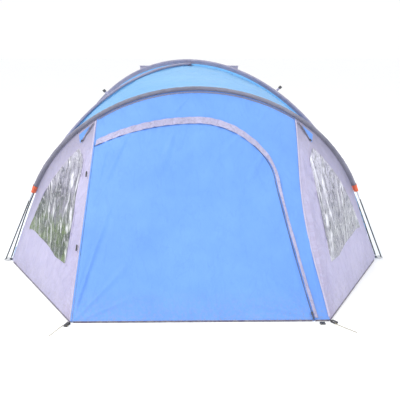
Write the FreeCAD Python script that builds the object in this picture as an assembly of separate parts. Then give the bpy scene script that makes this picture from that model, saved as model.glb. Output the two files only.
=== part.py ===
"""Pole-and-sleeve dome tent with a front porch, modelled in millimetres.

+Z is up, the porch door faces -Y and the origin is on the ground at the centre of the sleeping
cabin.  Two long poles cross over the cabin and a third, leaning pole carries the front of the porch.
"""

import FreeCAD, Part

import math
import os

Vec = FreeCAD.Vector

# ---- driving dimensions -------------------------------------------------------------------------

CABIN_HALF_X = 1270.0  # main pole feet, half the spacing across
CABIN_HALF_Y = 1080.0  # main pole feet, half the spacing front to back
APEX_LOW = 1280.0  # centre height of the lower main pole where the two cross
APEX_STEP = 26.0  # how far the upper main pole passes above the lower one
MAIN_LEG_DEG = 66.0  # slope of a main pole's straight foot
PORCH_HALF_X = 1300.0  # porch pole feet, half the spacing
PORCH_FOOT_Y = -1115.0
PORCH_RISE = 1233.0  # height of the porch pole measured in its own leaning plane
PORCH_LEG_DEG = 65.5
PORCH_LEAN_DEG = 14.6  # how far that plane leans to the front
SEAM_HALF_X = 610.0  # where the door seams meet the porch pole
HEM_HALF_X = 700.0  # front corners of the porch on the ground
HEM_Y = -2150.0

POLE_R = 4.25
POLE_BORE_R = 2.3
CORD_R = 1.2
FERRULE_R = 5.4
FERRULE_LEN = 70.0
SLEEVE_R = 11.0
SLEEVE_WALL = 1.6
SLEEVE_FLATS = 18
SLEEVE_FOOT = 535.0  # bare pole below a main sleeve
PORCH_SLEEVE_FOOT = 630.0
TAB_LEN = 42.0
FOOT_Z = 14.0  # pole ends stand this far above the ground on their pins

FABRIC = 1.2
WALL_INSET = 45.0  # fabric stands inside the pole feet by this much at the ground
SLEEVE_DROP = 15.0  # fabric hangs below the pole centre by this much at the top
HEM_R = 4.0
HEM_Z = 5.0
FABRIC_FOOT = 10.0  # the panels end this far above the ground, on their hem piping
SEAM_GAP = 3.0

DOOR_LEFT = -0.985  # door outline, as shares of the front panel
DOOR_BOTTOM = 0.0
DOOR_SPRING = 0.61
DOOR_TOP = 0.840
DOOR_FOOT = 0.866
DOOR_SHOULDER = 0.677
EDGE_RATIO = 0.55  # a share of the half width is this much of a share of the height

ZIP_INNER = 0.004  # bands beside the door, as shares of the front panel's half width
ZIP_OUTER = 0.018
FLAP_OUTER = 0.052
FLAP_LIFT = 3.2

GROUND_T = 1.5
MESH_T = 1.0
PVC_T = 0.8
FLOOR_X = 1215.0
FLOOR_FRONT = -1018.0
FLOOR_BACK = 1030.0

PARTITION_Y = -1022.0  # wall between the porch and the cabin
PARTITION_LEAN = 0.42
PARTITION_SPRING = 980.0
PARTITION_TOP = 1088.0
INNER_DOOR_LEFT = -560.0
INNER_DOOR_RIGHT = 140.0
INNER_DOOR_SILL = 60.0
INNER_DOOR_TOP = 900.0
INNER_DOOR_ROUND = 260.0

WINDOW_CORNERS = (  # shares of a porch side
    (0.130, 0.245),
    (0.250, 0.280),
    (0.470, 0.465),
    (0.675, 0.735),
    (0.340, 0.845),
    (0.100, 0.893),
    (0.060, 0.800),
)
WINDOW_ROUND = 0.15
GUSSET_CORNERS = ((0.098, 0.918), (0.112, 0.976), (0.040, 0.982))
VENT_CORNERS = ((-0.6, 0.64), (0.6, 0.64), (0.6, 0.80), (-0.6, 0.80))  # shares of the rear panel
HOOD_HINGE_Y = 235.0
HOOD_HINGE_HALF = 205.0
HOOD_HINGE_Z = 1247.0
HOOD_EDGE_Y = 560.0
HOOD_EDGE_HALF = 458.0
HOOD_EDGE_Z = 1240.0
PROP_Y = 420.0
PROP_R = 3.0
PROP_LEN = 84.0

POLE_SECTIONS = 7
SLEEVE_STOP = 1.5  # the sleeves stop this short of the crossing
RING_Z = 5.5
RING_WIRE_R = 3.0
REAR_RING_R = 20.0
PIN_R = 2.0
PIN_LEN = 60.0
WEBBING_T = 1.5
TOGGLE_R = 4.5
TOGGLE_HALF = 18.0
GUY_X = 615.0
PEG_R = 2.0
PEG_Z = 6.5
PEG_LEN = 180.0


# ---- small helpers ------------------------------------------------------------------------------


def save(name, *solids):
    """Write one node, made of one or more separate solids."""
    shape = solids[0] if len(solids) == 1 else Part.makeCompound(list(solids))
    if not shape.isValid() or shape.Volume <= 0:
        raise ValueError("bad shape in " + name)
    shape.exportStep("parts/" + name + ".step")
    lo = shape.BoundBox
    print(name, len(shape.Solids), round(shape.Volume / 1000.0, 1), round(lo.ZMin, 1), round(lo.ZMax, 1))
    return shape


def mirrored(shape):
    """The same piece on the other side of the tent."""
    return shape.mirror(Vec(0, 0, 0), Vec(1, 0, 0))


def blend(a, b, share):
    return a + (b - a) * share


def rod(start, end, radius):
    return Part.makeCylinder(radius, (end - start).Length, start, end - start)


def block(centre, along, up, length, width, height):
    """A box centred on a point, its length along one direction and its height along another."""
    x_dir = Vec(along).normalize()
    y_dir = Vec(up).cross(x_dir).normalize()
    z_dir = x_dir.cross(y_dir)
    box = Part.makeBox(length, width, height, Vec(-length / 2, -width / 2, -height / 2))
    box.Placement = FreeCAD.Placement(
        FreeCAD.Matrix(
            x_dir.x, y_dir.x, z_dir.x, centre.x,
            x_dir.y, y_dir.y, z_dir.y, centre.y,
            x_dir.z, y_dir.z, z_dir.z, centre.z,
            0, 0, 0, 1,
        )
    )
    return box


# ---- arches: a straight leg at each foot and one arc between them ----------------------------------


class Arch:
    """A symmetric arch of a given half span and rise, standing in a plane.

    Its points are given by the distance from the middle, u, which is negative towards the left foot.
    """

    def __init__(self, half, rise, leg_deg, place):
        slope = math.radians(leg_deg)
        self.half = half
        self.rise = rise
        self.slope = slope
        self.place = place
        det = math.cos(slope) * (1 - math.cos(slope)) - math.sin(slope) ** 2
        self.leg = (half * (1 - math.cos(slope)) - rise * math.sin(slope)) / det
        self.radius = (rise * math.cos(slope) - half * math.sin(slope)) / det
        self.length = self.leg + self.radius * slope

    def at(self, run):
        """Point (u, height) at a run along the arch, from 0 at the left foot to twice its length."""
        side = -1.0
        if run > self.length:
            run = 2 * self.length - run
            side = 1.0
        if run <= self.leg:
            u = self.half - run * math.cos(self.slope)
            return side * u, run * math.sin(self.slope)
        turn = self.slope - (run - self.leg) / self.radius
        u = self.radius * math.sin(turn)
        return side * u, self.rise - self.radius + self.radius * math.cos(turn)

    def height(self, u):
        u = abs(u)
        if u >= self.radius * math.sin(self.slope):
            return (self.half - u) * math.tan(self.slope)
        return self.rise - self.radius + math.sqrt(self.radius**2 - u**2)

    def run_at(self, u):
        """Run along the arch at a distance u from the middle."""
        size = abs(u)
        if size >= self.radius * math.sin(self.slope):
            run = (self.half - size) / math.cos(self.slope)
        else:
            run = self.leg + self.radius * (self.slope - math.asin(size / self.radius))
        return run if u < 0 else 2 * self.length - run

    def point(self, run):
        return self.place(*self.at(run))

    def tangent(self, run):
        return (self.point(run + 0.5) - self.point(run - 0.5)).normalize()

    def wire(self, start, end):
        """Path between two runs, made of straight lines and arcs that meet in tangents."""
        stops = [start]
        for stop in (self.leg, 2 * self.length - self.leg):
            if start + 0.01 < stop < end - 0.01:
                stops.append(stop)
        stops.append(end)
        edges = []
        for first, last in zip(stops, stops[1:]):
            middle = 0.5 * (first + last)
            straight = middle < self.leg or middle > 2 * self.length - self.leg
            if straight:
                edges.append(Part.makeLine(self.point(first), self.point(last)))
            else:
                arc = Part.Arc(self.point(first), self.point(middle), self.point(last))
                edges.append(arc.toShape())
        return Part.Wire(edges)

    def sweep(self, start, end, radius):
        ring = Part.Wire(Part.makeCircle(radius, self.point(start), self.tangent(start + 1.0)))
        return self.wire(start, end).makePipeShell([ring], True, False)

    def fold(self, start, end, radius):
        """A sewn tube's outline swept along the arch: many narrow flats, as gathered cloth lies."""
        centre = self.point(start)
        along = self.tangent(start + 1.0)
        across = (self.place(1, 0) - self.place(0, 0)).cross(self.place(0, 1) - self.place(0, 0)).normalize()
        out = along.cross(across).normalize()
        corners = []
        for index in range(SLEEVE_FLATS + 1):
            turn = 2 * math.pi * (index % SLEEVE_FLATS) / SLEEVE_FLATS
            corners.append(centre + across * (radius * math.cos(turn)) + out * (radius * math.sin(turn)))
        return self.wire(start, end).makePipeShell([Part.makePolygon(corners)], True, False)

    def hose(self, start, end, outer, inner):
        """A hollow tube along the arch; the bore runs past both ends so that they are open."""
        return self.sweep(start, end, outer).cut(self.sweep(start - 0.4, end + 0.4, inner))

    def sleeve(self, start, end):
        """A sewn sleeve round the pole, open at both ends."""
        bore = self.fold(start - 0.4, end + 0.4, SLEEVE_R - SLEEVE_WALL)
        return self.fold(start, end, SLEEVE_R).cut(bore)


def diagonal_place(side_x):
    """Plane of a main pole: it runs from the front foot on one side to the rear foot on the other."""
    half = math.hypot(CABIN_HALF_X, CABIN_HALF_Y)

    def place(u, height):
        return Vec(side_x * u * CABIN_HALF_X / half, u * CABIN_HALF_Y / half, height)

    return place


def porch_place(shift):
    """The porch pole's leaning plane, shifted along Y."""
    lean = math.radians(PORCH_LEAN_DEG)

    def place(u, height):
        return Vec(u, PORCH_FOOT_Y + shift - height * math.sin(lean), height * math.cos(lean))

    return place


DIAGONAL = math.hypot(CABIN_HALF_X, CABIN_HALF_Y)
pole_low = Arch(DIAGONAL, APEX_LOW, MAIN_LEG_DEG, diagonal_place(1))
pole_high = Arch(DIAGONAL, APEX_LOW + APEX_STEP, MAIN_LEG_DEG, diagonal_place(-1))
pole_porch = Arch(PORCH_HALF_X, PORCH_RISE, PORCH_LEG_DEG, porch_place(0))

# The fabric follows the poles from inside: close under the sleeves and further in at the ground.
roof_line = Arch(DIAGONAL - WALL_INSET, APEX_LOW - SLEEVE_DROP, MAIN_LEG_DEG + 1.7, diagonal_place(1))
brow_line = Arch(PORCH_HALF_X - WALL_INSET, PORCH_RISE - SLEEVE_DROP, PORCH_LEG_DEG + 1.9, porch_place(0))


# ---- fabric surfaces: each gives a point from two shares -----------------------------------------


def brow_point(run, shift):
    point = brow_line.point(run)
    return Vec(point.x, point.y + shift, point.z)


SEAM_RUN = brow_line.run_at(-SEAM_HALF_X)
FRONT_CORNER = Vec(-HEM_HALF_X, HEM_Y, FABRIC_FOOT)
WALL_CORNER = Vec(-(PORCH_HALF_X - WALL_INSET), PORCH_FOOT_Y, FABRIC_FOOT)


def front_surface(s, t):
    """Front of the porch: s from -1 at the left seam to 1, t from 0 on the ground to 1 at the pole."""
    run = SEAM_RUN + (brow_line.length - SEAM_RUN) * (1 + s)
    top = brow_point(run, -SEAM_GAP)
    foot = Vec(s * HEM_HALF_X, HEM_Y, FABRIC_FOOT)
    return blend(foot, top, t)


def side_surface(s, t):
    """Left side of the porch: s from 0 at the door seam to 1 at the pole foot."""
    top = brow_point(SEAM_RUN * (1 - s), -SEAM_GAP)
    foot = blend(FRONT_CORNER, WALL_CORNER, s)
    return blend(foot, top, t)


def porch_roof_surface(s, t):
    """Band over the porch: s from 0 at the left foot to 1 at the right, t from the porch pole back."""
    front = brow_point(2 * brow_line.length * s, SEAM_GAP)
    if s <= 0.5:
        back = roof_line.point(2 * roof_line.length * s)
    else:
        back = roof_line.point(2 * roof_line.length * (1 - s))
        back.x = -back.x
    back.y -= 2 * SEAM_GAP
    return blend(front, back, t)


def quadrant(line, share_x, share_y):
    """One side of the dome: level straight lines between two neighbouring poles.

    s from -1 to 1 runs along the wall and t from 0 to 1 runs up the line of the poles.
    """

    def surface(s, t):
        u, height = line.at(line.length * t)
        out = abs(u) / DIAGONAL
        across = s * max(out * (CABIN_HALF_Y if share_x else CABIN_HALF_X) - SEAM_GAP, 1.0)
        if share_x:
            return Vec(share_x * out * CABIN_HALF_X, across, height)
        return Vec(across, share_y * out * CABIN_HALF_Y, height)

    return surface


cabin_side_surface = quadrant(roof_line, -1, 0)
cabin_rear_surface = quadrant(roof_line, 0, 1)


def rounded(corners, share, steps):
    """Points round a polygon whose corners are eased with parabolas.

    Each corner starts and ends at a share of the shorter side beside it.
    """
    points = []
    count = len(corners)
    for index in range(count):
        x, y = corners[index]
        before = corners[index - 1]
        after = corners[(index + 1) % count]
        sizes = [math.dist((x, y), other) for other in (before, after)]
        ease = share * min(sizes)
        first = [x + (before[0] - x) * ease / sizes[0], y + (before[1] - y) * ease / sizes[0]]
        last = [x + (after[0] - x) * ease / sizes[1], y + (after[1] - y) * ease / sizes[1]]
        for step in range(steps + 1):
            f = step / steps
            weights = ((1 - f) ** 2, 2 * f * (1 - f), f**2)
            points.append(
                tuple(
                    weights[0] * first[axis] + weights[1] * (x, y)[axis] + weights[2] * last[axis]
                    for axis in (0, 1)
                )
            )
    return points


def grown(corners, grow):
    """A convex outline, counter-clockwise, with every side moved out."""
    moved = []
    count = len(corners)
    for index in range(count):
        lines = []
        for first in (index - 1, index):
            x0, y0 = corners[first]
            x1, y1 = corners[(first + 1) % count]
            size = math.dist((x0, y0), (x1, y1))
            out = ((y1 - y0) / size * grow, (x0 - x1) / size * grow)
            lines.append((x0 + out[0], y0 + out[1], x1 - x0, y1 - y0))
        (ax, ay, adx, ady), (bx, by, bdx, bdy) = lines
        cross = adx * bdy - ady * bdx
        along = ((bx - ax) * bdy - (by - ay) * bdx) / cross
        moved.append((ax + adx * along, ay + ady * along))
    return moved


def door_outline(grow):
    """Door outline in shares of the front panel: straight left edge and sill, arched top right."""
    points = [(DOOR_LEFT - 2 * grow, DOOR_BOTTOM - grow)]
    for step in range(61):
        points.append(door_edge(1 - step / 60, grow))
    points.append((DOOR_LEFT - 2 * grow, DOOR_TOP + grow * EDGE_RATIO))
    foot = points[1]
    points[1] = (foot[0] + grow * 0.1, DOOR_BOTTOM - grow)
    return points


def door_edge(p, offset):
    """Points along the door's top and right edge, from the left seam round to the sill."""
    top = DOOR_TOP + offset * EDGE_RATIO
    if p <= 0.3:
        return DOOR_LEFT - DOOR_LEFT * p / 0.3, top
    if p <= 0.65:
        turn = math.pi / 2 * (1 - (p - 0.3) / 0.35)
        s = (DOOR_SHOULDER + offset) * math.cos(turn)
        return s, DOOR_SPRING + (top - DOOR_SPRING) * math.sin(turn)
    drop = (p - 0.65) / 0.35
    s = DOOR_SHOULDER + (DOOR_FOOT - DOOR_SHOULDER) * drop + offset
    return s, DOOR_SPRING + (DOOR_BOTTOM - DOOR_SPRING) * drop


def gusset_zip_shares(p, q):
    """Zip along the triangle's lower front edge."""
    return 0.087 - 0.064 * q - 0.012 * (1 - p), 0.918 + 0.064 * q


# ---- fabric panels ------------------------------------------------------------------------------


def sheet(surface, region, columns, rows, thickness, lift=0.0):
    """A closed sheet of even thickness over part of a surface.

    The region turns two shares from 0 to 1 into the surface's own shares; lift moves the sheet out
    along the surface's normal.
    """
    outer = []
    inner = []
    for i in range(columns + 1):
        outer_row = []
        inner_row = []
        for j in range(rows + 1):
            p = i / columns
            q = j / rows
            point = surface(*region(p, q))
            step = 0.01
            p0, p1 = max(p - step, 0), min(p + step, 1)
            q0, q1 = max(q - step, 0), min(q + step, 1)
            along = surface(*region(p1, q)) - surface(*region(p0, q))
            up = surface(*region(p, q1)) - surface(*region(p, q0))
            normal = along.cross(up).normalize()
            outer_row.append(point + normal * (lift + thickness / 2))
            inner_row.append(point + normal * (lift - thickness / 2))
        outer.append(outer_row)
        inner.append(inner_row)
    return skin_solid(outer, inner)


def skin_solid(outer, inner):
    """Close the space between two grids of points with smooth faces."""
    skins = []
    for grid in (outer, inner):
        surface = Part.BSplineSurface()
        surface.interpolate(grid)
        skins.append(surface)
    faces = [skin.toShape() for skin in skins]
    for cut in (
        lambda k: k.vIso(k.bounds()[2]),
        lambda k: k.vIso(k.bounds()[3]),
        lambda k: k.uIso(k.bounds()[0]),
        lambda k: k.uIso(k.bounds()[1]),
    ):
        edges = [cut(skin).toShape() for skin in skins]
        faces.append(Part.makeRuledSurface(edges[0], edges[1]))
    shell = Part.makeShell(faces)
    shell.sewShape()
    solid = Part.makeSolid(shell)
    if solid.Volume < 0:
        solid.reverse()
    return solid


def whole(s0, s1, t0, t1):
    def region(p, q):
        return s0 + (s1 - s0) * p, t0 + (t1 - t0) * q

    return region


def through_cut(surface, outline, reach):
    """A straight plug through a nearly flat surface, over an outline given in the surface's shares."""
    points = [surface(s, t) for s, t in outline]
    normal = Vec(0, 0, 0)
    for first, second in zip(points, points[1:] + points[:1]):
        normal += first.cross(second)
    normal.normalize()
    base = [flattened(point, points[0], normal) - normal * reach for point in points]
    return prism(base, normal * (2 * reach))


def flattened(point, origin, normal):
    return point - normal * (point - origin).dot(normal)


def edge_region(inner, outer, start=0.0, end=1.0):
    """A band that follows the door's edge between two offsets."""

    def region(p, q):
        return door_edge(start + (end - start) * p, inner + (outer - inner) * q)

    return region


def hood_height(y):
    """Underside-to-top middle height of the propped vent hood."""
    share = (y - HOOD_HINGE_Y) / (HOOD_EDGE_Y - HOOD_HINGE_Y)
    return HOOD_HINGE_Z + (HOOD_EDGE_Z - HOOD_HINGE_Z) * share


def prism(points, push):
    """A flat outline pushed along a vector."""
    outline = Part.makePolygon(points + [points[0]])
    return Part.Face(outline).extrude(push)


def partition_point(x, height):
    """A point on the flat, leaning wall between the porch and the cabin."""
    return Vec(x, PARTITION_Y + height * PARTITION_LEAN, height)


def partition_half(height):
    """Half width of that wall where it meets the cabin sides."""
    if height <= roof_line.leg * math.sin(roof_line.slope):
        u = roof_line.half - height / math.tan(roof_line.slope)
    else:
        drop = height - roof_line.rise + roof_line.radius
        u = math.sqrt(max(roof_line.radius**2 - drop**2, 0))
    return u / DIAGONAL * CABIN_HALF_X - 16.0


def partition_outline(grow):
    """Outline of the cabin's doorway, as points on the leaning wall."""
    left = INNER_DOOR_LEFT - grow
    right = INNER_DOOR_RIGHT + grow
    low = INNER_DOOR_SILL - grow
    top = INNER_DOOR_TOP + grow
    bend = INNER_DOOR_ROUND
    points = [partition_point(left, low), partition_point(right, low), partition_point(right, top - bend)]
    for step in range(1, 9):
        turn = math.radians(90 * step / 8)
        points.append(
            partition_point(right - bend + bend * math.cos(turn), top - bend + bend * math.sin(turn))
        )
    points.append(partition_point(left, top))
    return points


def ring_and_pins(centre, radius, poles):
    """A steel corner ring on the ground with a pin up into each pole that stands there."""
    solid = Part.makeTorus(radius, RING_WIRE_R, centre, Vec(0, 0, 1))
    for arch, end in poles:
        run = RING_Z / math.sin(arch.slope)
        pin_top = run + PIN_LEN
        if end > 0:
            run = 2 * arch.length - run
            pin_top = 2 * arch.length - pin_top
        solid = solid.fuse(rod(arch.point(run), arch.point(pin_top), PIN_R))
    return solid.removeSplitter()


def webbing_loop(start, end, width, height):
    """A flat strap folded back on itself, lying on the ground from one point to another."""
    along = end - start
    length = along.Length
    across = Vec(0, 0, 1).cross(along).normalize()
    middle = (start + end) * 0.5
    outer = block(middle + Vec(0, 0, height / 2), along, Vec(0, 0, 1), length, width, height)
    ends = [edge for edge in outer.Edges if abs(abs(edge.tangentAt(0).dot(across)) - 1) < 1e-6]
    outer = outer.makeFillet(height / 2 - 0.2, ends)
    hole_height = height - 2 * WEBBING_T
    hole = block(
        middle + Vec(0, 0, height / 2), along, Vec(0, 0, 1), length - 2 * WEBBING_T, width + 2, hole_height
    )
    ends = [edge for edge in hole.Edges if abs(abs(edge.tangentAt(0).dot(across)) - 1) < 1e-6]
    return outer.cut(hole.makeFillet(hole_height / 2 - 0.2, ends))


def bent_rod(points, radius, bend):
    """A round rod along straight runs joined by tangent arcs of one bend radius."""
    edges = []
    last = points[0]
    for here, corner, after in zip(points, points[1:], points[2:]):
        back = (here - corner).normalize()
        ahead = (after - corner).normalize()
        half_turn = math.acos(max(-1.0, min(1.0, back.dot(ahead)))) / 2
        trim = bend / math.tan(half_turn)
        begin = corner + back * trim
        finish = corner + ahead * trim
        centre = corner + (back + ahead).normalize() * (bend / math.sin(half_turn))
        crown = centre + (corner - centre).normalize() * bend
        edges.append(Part.makeLine(last, begin))
        edges.append(Part.Arc(begin, crown, finish).toShape())
        last = finish
    edges.append(Part.makeLine(last, points[-1]))
    path = Part.Wire(edges)
    ring = Part.Wire(Part.makeCircle(radius, points[0], points[1] - points[0]))
    return path.makePipeShell([ring], True, False)


def surface_frame(surface, s, t):
    """Point, outward normal and upward direction of a porch surface."""
    point = surface(s, t)
    along = surface(s + 0.004, t) - surface(s - 0.004, t)
    up = (surface(s, t + 0.004) - surface(s, t - 0.004)).normalize()
    normal = along.cross(up).normalize()
    if normal.y > 0:
        normal = normal * -1
    return point, normal, up


os.makedirs("parts", exist_ok=True)

# ---- poles --------------------------------------------------------------------------------------

POLES = (pole_low, pole_high, pole_porch)
for name, arch in zip(("main_pole_lower", "main_pole_upper", "porch_pole"), POLES):
    foot = FOOT_Z / math.sin(arch.slope)
    save(name, arch.hose(foot, 2 * arch.length - foot, POLE_R, POLE_BORE_R))

ferrules = []
cords = []
for arch in POLES:
    pitch = 2 * arch.length / POLE_SECTIONS
    for joint in range(1, POLE_SECTIONS):
        start = joint * pitch - FERRULE_LEN / 2
        ferrules.append(arch.hose(start, start + FERRULE_LEN, FERRULE_R, POLE_R + 0.2))
    cords.append(arch.sweep(75.0, 2 * arch.length - 75.0, CORD_R))
save("pole_ferrules", *ferrules)
save("pole_shock_cords", *cords)

# ---- corner rings, pins and straps --------------------------------------------------------------

front_left = (pole_low.point(0) + pole_porch.point(0)) * 0.5
front_left.z = RING_Z
front_radius = (pole_low.point(0) - pole_porch.point(0)).Length / 2
front_right = Vec(-front_left.x, front_left.y, RING_Z)
rear_right = pole_low.point(2 * pole_low.length) - Vec(REAR_RING_R, 0, -RING_Z)
rear_left = Vec(-rear_right.x, rear_right.y, RING_Z)
save("corner_ring_front_left", ring_and_pins(front_left, front_radius, ((pole_low, 0), (pole_porch, 0))))
save("corner_ring_front_right", ring_and_pins(front_right, front_radius, ((pole_high, 0), (pole_porch, 1))))
save("corner_ring_rear_left", ring_and_pins(rear_left, REAR_RING_R, ((pole_high, 1),)))
save("corner_ring_rear_right", ring_and_pins(rear_right, REAR_RING_R, ((pole_low, 1),)))

straps = []
for side in (-1, 1):
    corner = Vec(-side * front_left.x, front_left.y, 0)
    inward = Vec(-side, 0.12, 0).normalize()
    start = corner + inward * (front_radius - 10)
    straps.append(webbing_loop(start, start + inward * 54, 16, 11))
    corner = Vec(-side * rear_left.x, rear_left.y, 0)
    start = corner + Vec(0, -REAR_RING_R + 10, 0)
    straps.append(webbing_loop(start, start - Vec(0, 34, 0), 16, 11))
save("corner_straps", *straps)

# ---- pole sleeves -------------------------------------------------------------------------------

low_end = pole_low.length - SLEEVE_STOP
high_end = pole_high.length - SLEEVE_STOP
low_far = 2 * pole_low.length - SLEEVE_FOOT
high_far = 2 * pole_high.length - SLEEVE_FOOT
save("main_sleeve_front_left", pole_low.sleeve(SLEEVE_FOOT, low_end))
save("main_sleeve_rear_right", pole_low.sleeve(pole_low.length + SLEEVE_STOP, low_far))
save("main_sleeve_front_right", pole_high.sleeve(SLEEVE_FOOT, high_end))
save("main_sleeve_rear_left", pole_high.sleeve(pole_high.length + SLEEVE_STOP, high_far))
save("porch_sleeve", pole_porch.sleeve(PORCH_SLEEVE_FOOT, 2 * pole_porch.length - PORCH_SLEEVE_FOOT))

tabs = []
for arch, foot in zip(POLES, (SLEEVE_FOOT, SLEEVE_FOOT, PORCH_SLEEVE_FOOT)):
    start = foot - TAB_LEN - 3
    far = 2 * arch.length - start
    tabs.append(arch.hose(start, start + TAB_LEN, SLEEVE_R + 1.5, POLE_R + 1.2))
    tabs.append(arch.hose(far - TAB_LEN, far, SLEEVE_R + 1.5, POLE_R + 1.2))
save("sleeve_end_tabs", *tabs)
save("apex_patch", block(Vec(0, 0, APEX_LOW - 12.8), Vec(1, 0.85, 0), Vec(0, 0, 1), 60, 60, 1.5))

# ---- cabin --------------------------------------------------------------------------------------

side = sheet(cabin_side_surface, whole(-1, 1, 0.007, 0.984), 6, 26, FABRIC)
save("cabin_side_left", side)
save("cabin_side_right", mirrored(side))

rear = sheet(cabin_rear_surface, whole(-1, 1, 0.007, 0.984), 6, 26, FABRIC)
save("cabin_rear", rear.cut(through_cut(cabin_rear_surface, grown(VENT_CORNERS, 0.003), 120)))
mesh = sheet(cabin_rear_surface, whole(-1, 1, 0.007, 0.984), 6, 26, MESH_T)
save("vent_mesh", mesh.common(through_cut(cabin_rear_surface, VENT_CORNERS, 120)))

floor_corner = Vec(-FLOOR_X, FLOOR_FRONT, 0)
save("groundsheet", Part.makeBox(2 * FLOOR_X, FLOOR_BACK - FLOOR_FRONT, GROUND_T, floor_corner))

edge = []
for step in range(15):
    height = 6 + (PARTITION_SPRING - 6) * step / 14
    edge.append((partition_half(height), height))
for step in range(1, 9):
    turn = math.radians(90 * step / 8)
    reach = partition_half(PARTITION_SPRING) * math.cos(turn)
    edge.append((reach, PARTITION_SPRING + (PARTITION_TOP - PARTITION_SPRING) * math.sin(turn)))
outline = [partition_point(-x, z) for x, z in edge]
outline += [partition_point(x, z) for x, z in reversed(edge[:-1])]
through = Vec(0, 1, -PARTITION_LEAN).normalize()
wall = prism(outline, through * FABRIC)
doorway = [point - through * 20 for point in partition_outline(3.0)]
save("inner_front_wall", wall.cut(prism(doorway, through * 40)))
save("inner_door", prism(partition_outline(0.0), through * FABRIC))

inner_lean = Vec(0, PARTITION_LEAN, 1).normalize()
inner_out = through * -1
slider_foot = partition_point(INNER_DOOR_RIGHT + 12, 150) + inner_out * 3.4
save("inner_zip_slider", block(slider_foot, inner_lean, inner_out, 18, 10, 5))

# ---- porch --------------------------------------------------------------------------------------

save("porch_roof", sheet(porch_roof_surface, whole(0.006, 0.994, 0, 1), 60, 8, FABRIC))

side = sheet(side_surface, whole(0.004, 0.965, 0, 1), 24, 12, FABRIC)
hole = rounded(grown(WINDOW_CORNERS, 0.003), WINDOW_ROUND, 6)
side = side.cut(through_cut(side_surface, hole, 90))
save("porch_side_left", side)
save("porch_side_right", mirrored(side))
window = sheet(side_surface, whole(0.004, 0.965, 0, 1), 24, 12, PVC_T)
window = window.common(through_cut(side_surface, rounded(WINDOW_CORNERS, WINDOW_ROUND, 6), 90))
save("window_left", window)
save("window_right", mirrored(window))

front = sheet(front_surface, whole(-0.994, 0.994, DOOR_BOTTOM, 1), 24, 12, FABRIC)
save("door_surround", front.cut(through_cut(front_surface, door_outline(ZIP_OUTER + 0.003), 200)))
save("door_panel", front.common(through_cut(front_surface, door_outline(0), 200)))
save("door_zip", sheet(front_surface, edge_region(ZIP_INNER, ZIP_OUTER, 0.004, 0.996), 60, 2, FABRIC))
flap_band = edge_region(ZIP_OUTER + 0.004, FLAP_OUTER, 0.004, 0.996)
flap = sheet(front_surface, flap_band, 60, 3, FABRIC, FLAP_LIFT)
save("storm_flap", flap)

zip_middle = (ZIP_INNER + ZIP_OUTER) / 2
low_point, low_normal, _ = surface_frame(front_surface, *door_edge(0.985, zip_middle))
high_point, _, _ = surface_frame(front_surface, *door_edge(0.72, zip_middle))
zip_line = (high_point - low_point).normalize()
slider_centre = low_point + low_normal * 4.2
slider = block(slider_centre, zip_line, low_normal, 16, 9, 5.5)
save("door_zip_slider", slider)
pull_centre = slider_centre - zip_line * 2 + low_normal * 4.6
save("door_zip_pull", block(pull_centre - zip_line * 14, zip_line, low_normal, 30, 6, 2))

gusset = sheet(side_surface, whole(0.02, 0.2, 0.86, 0.985), 8, 6, FABRIC, -3.0)
gusset = gusset.common(through_cut(side_surface, GUSSET_CORNERS, 90))
zip_band = sheet(side_surface, gusset_zip_shares, 2, 8, FABRIC, -3.0)
gusset_low, gusset_normal, _ = surface_frame(side_surface, 0.083, 0.921)
gusset_high, _, _ = surface_frame(side_surface, 0.025, 0.978)
gusset_line = (gusset_high - gusset_low).normalize()
gusset_slider = block(gusset_low + gusset_normal * 8.6, gusset_line, gusset_normal, 15, 9, 5)
gusset_parts = (("corner_gusset", gusset), ("gusset_zip", zip_band), ("gusset_zip_slider", gusset_slider))
for name, shape in gusset_parts:
    save(name + "_left", shape)
    save(name + "_right", mirrored(shape))

drop = Vec(0, 0, HEM_Z - FABRIC_FOOT)
side_front = blend(FRONT_CORNER, WALL_CORNER, 0.01) + drop
side_back = blend(FRONT_CORNER, WALL_CORNER, 0.95) + drop
side_hem = rod(side_front, side_back, HEM_R)
save("porch_hem_left", side_hem)
short_start = (DOOR_FOOT + ZIP_OUTER) * HEM_HALF_X + 3
short_hem = rod(Vec(short_start, HEM_Y, HEM_Z), Vec(HEM_HALF_X - 8, HEM_Y, HEM_Z), HEM_R)
save("porch_hem_right", mirrored(side_hem), short_hem)
door_start = Vec(DOOR_LEFT * HEM_HALF_X + 6, HEM_Y, HEM_Z)
save("door_hem", rod(door_start, Vec(DOOR_FOOT * HEM_HALF_X, HEM_Y, HEM_Z), HEM_R))
corner = cabin_rear_surface(1, 0.004)
corner.z = HEM_Z
wall_hem = rod(Vec(-corner.x - 4, -corner.y + 30, HEM_Z), Vec(-corner.x - 4, corner.y - 30, HEM_Z), HEM_R)
rear_hem = rod(Vec(-corner.x + 30, corner.y + 1, HEM_Z), Vec(corner.x - 30, corner.y + 1, HEM_Z), HEM_R)
save("cabin_hem", wall_hem, mirrored(wall_hem), rear_hem)

# ---- door toggles -------------------------------------------------------------------------------

studs = []
for name, height in (("door_toggle_upper", 0.70), ("door_toggle_lower", 0.33)):
    point, normal, up = surface_frame(side_surface, 0.014, height)
    studs.append(rod(point + normal * 1.0, point + normal * 8.0, 2.0))
    centre = point + normal * (8.2 + TOGGLE_R)
    bar = rod(centre - up * TOGGLE_HALF, centre + up * TOGGLE_HALF, TOGGLE_R)
    rims = [edge for edge in bar.Edges if edge.Curve.TypeId == "Part::GeomCircle"]
    save(name, bar.makeFillet(TOGGLE_R * 0.45, rims))
save("toggle_cords", *studs)

# ---- vent hood ----------------------------------------------------------------------------------

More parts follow.
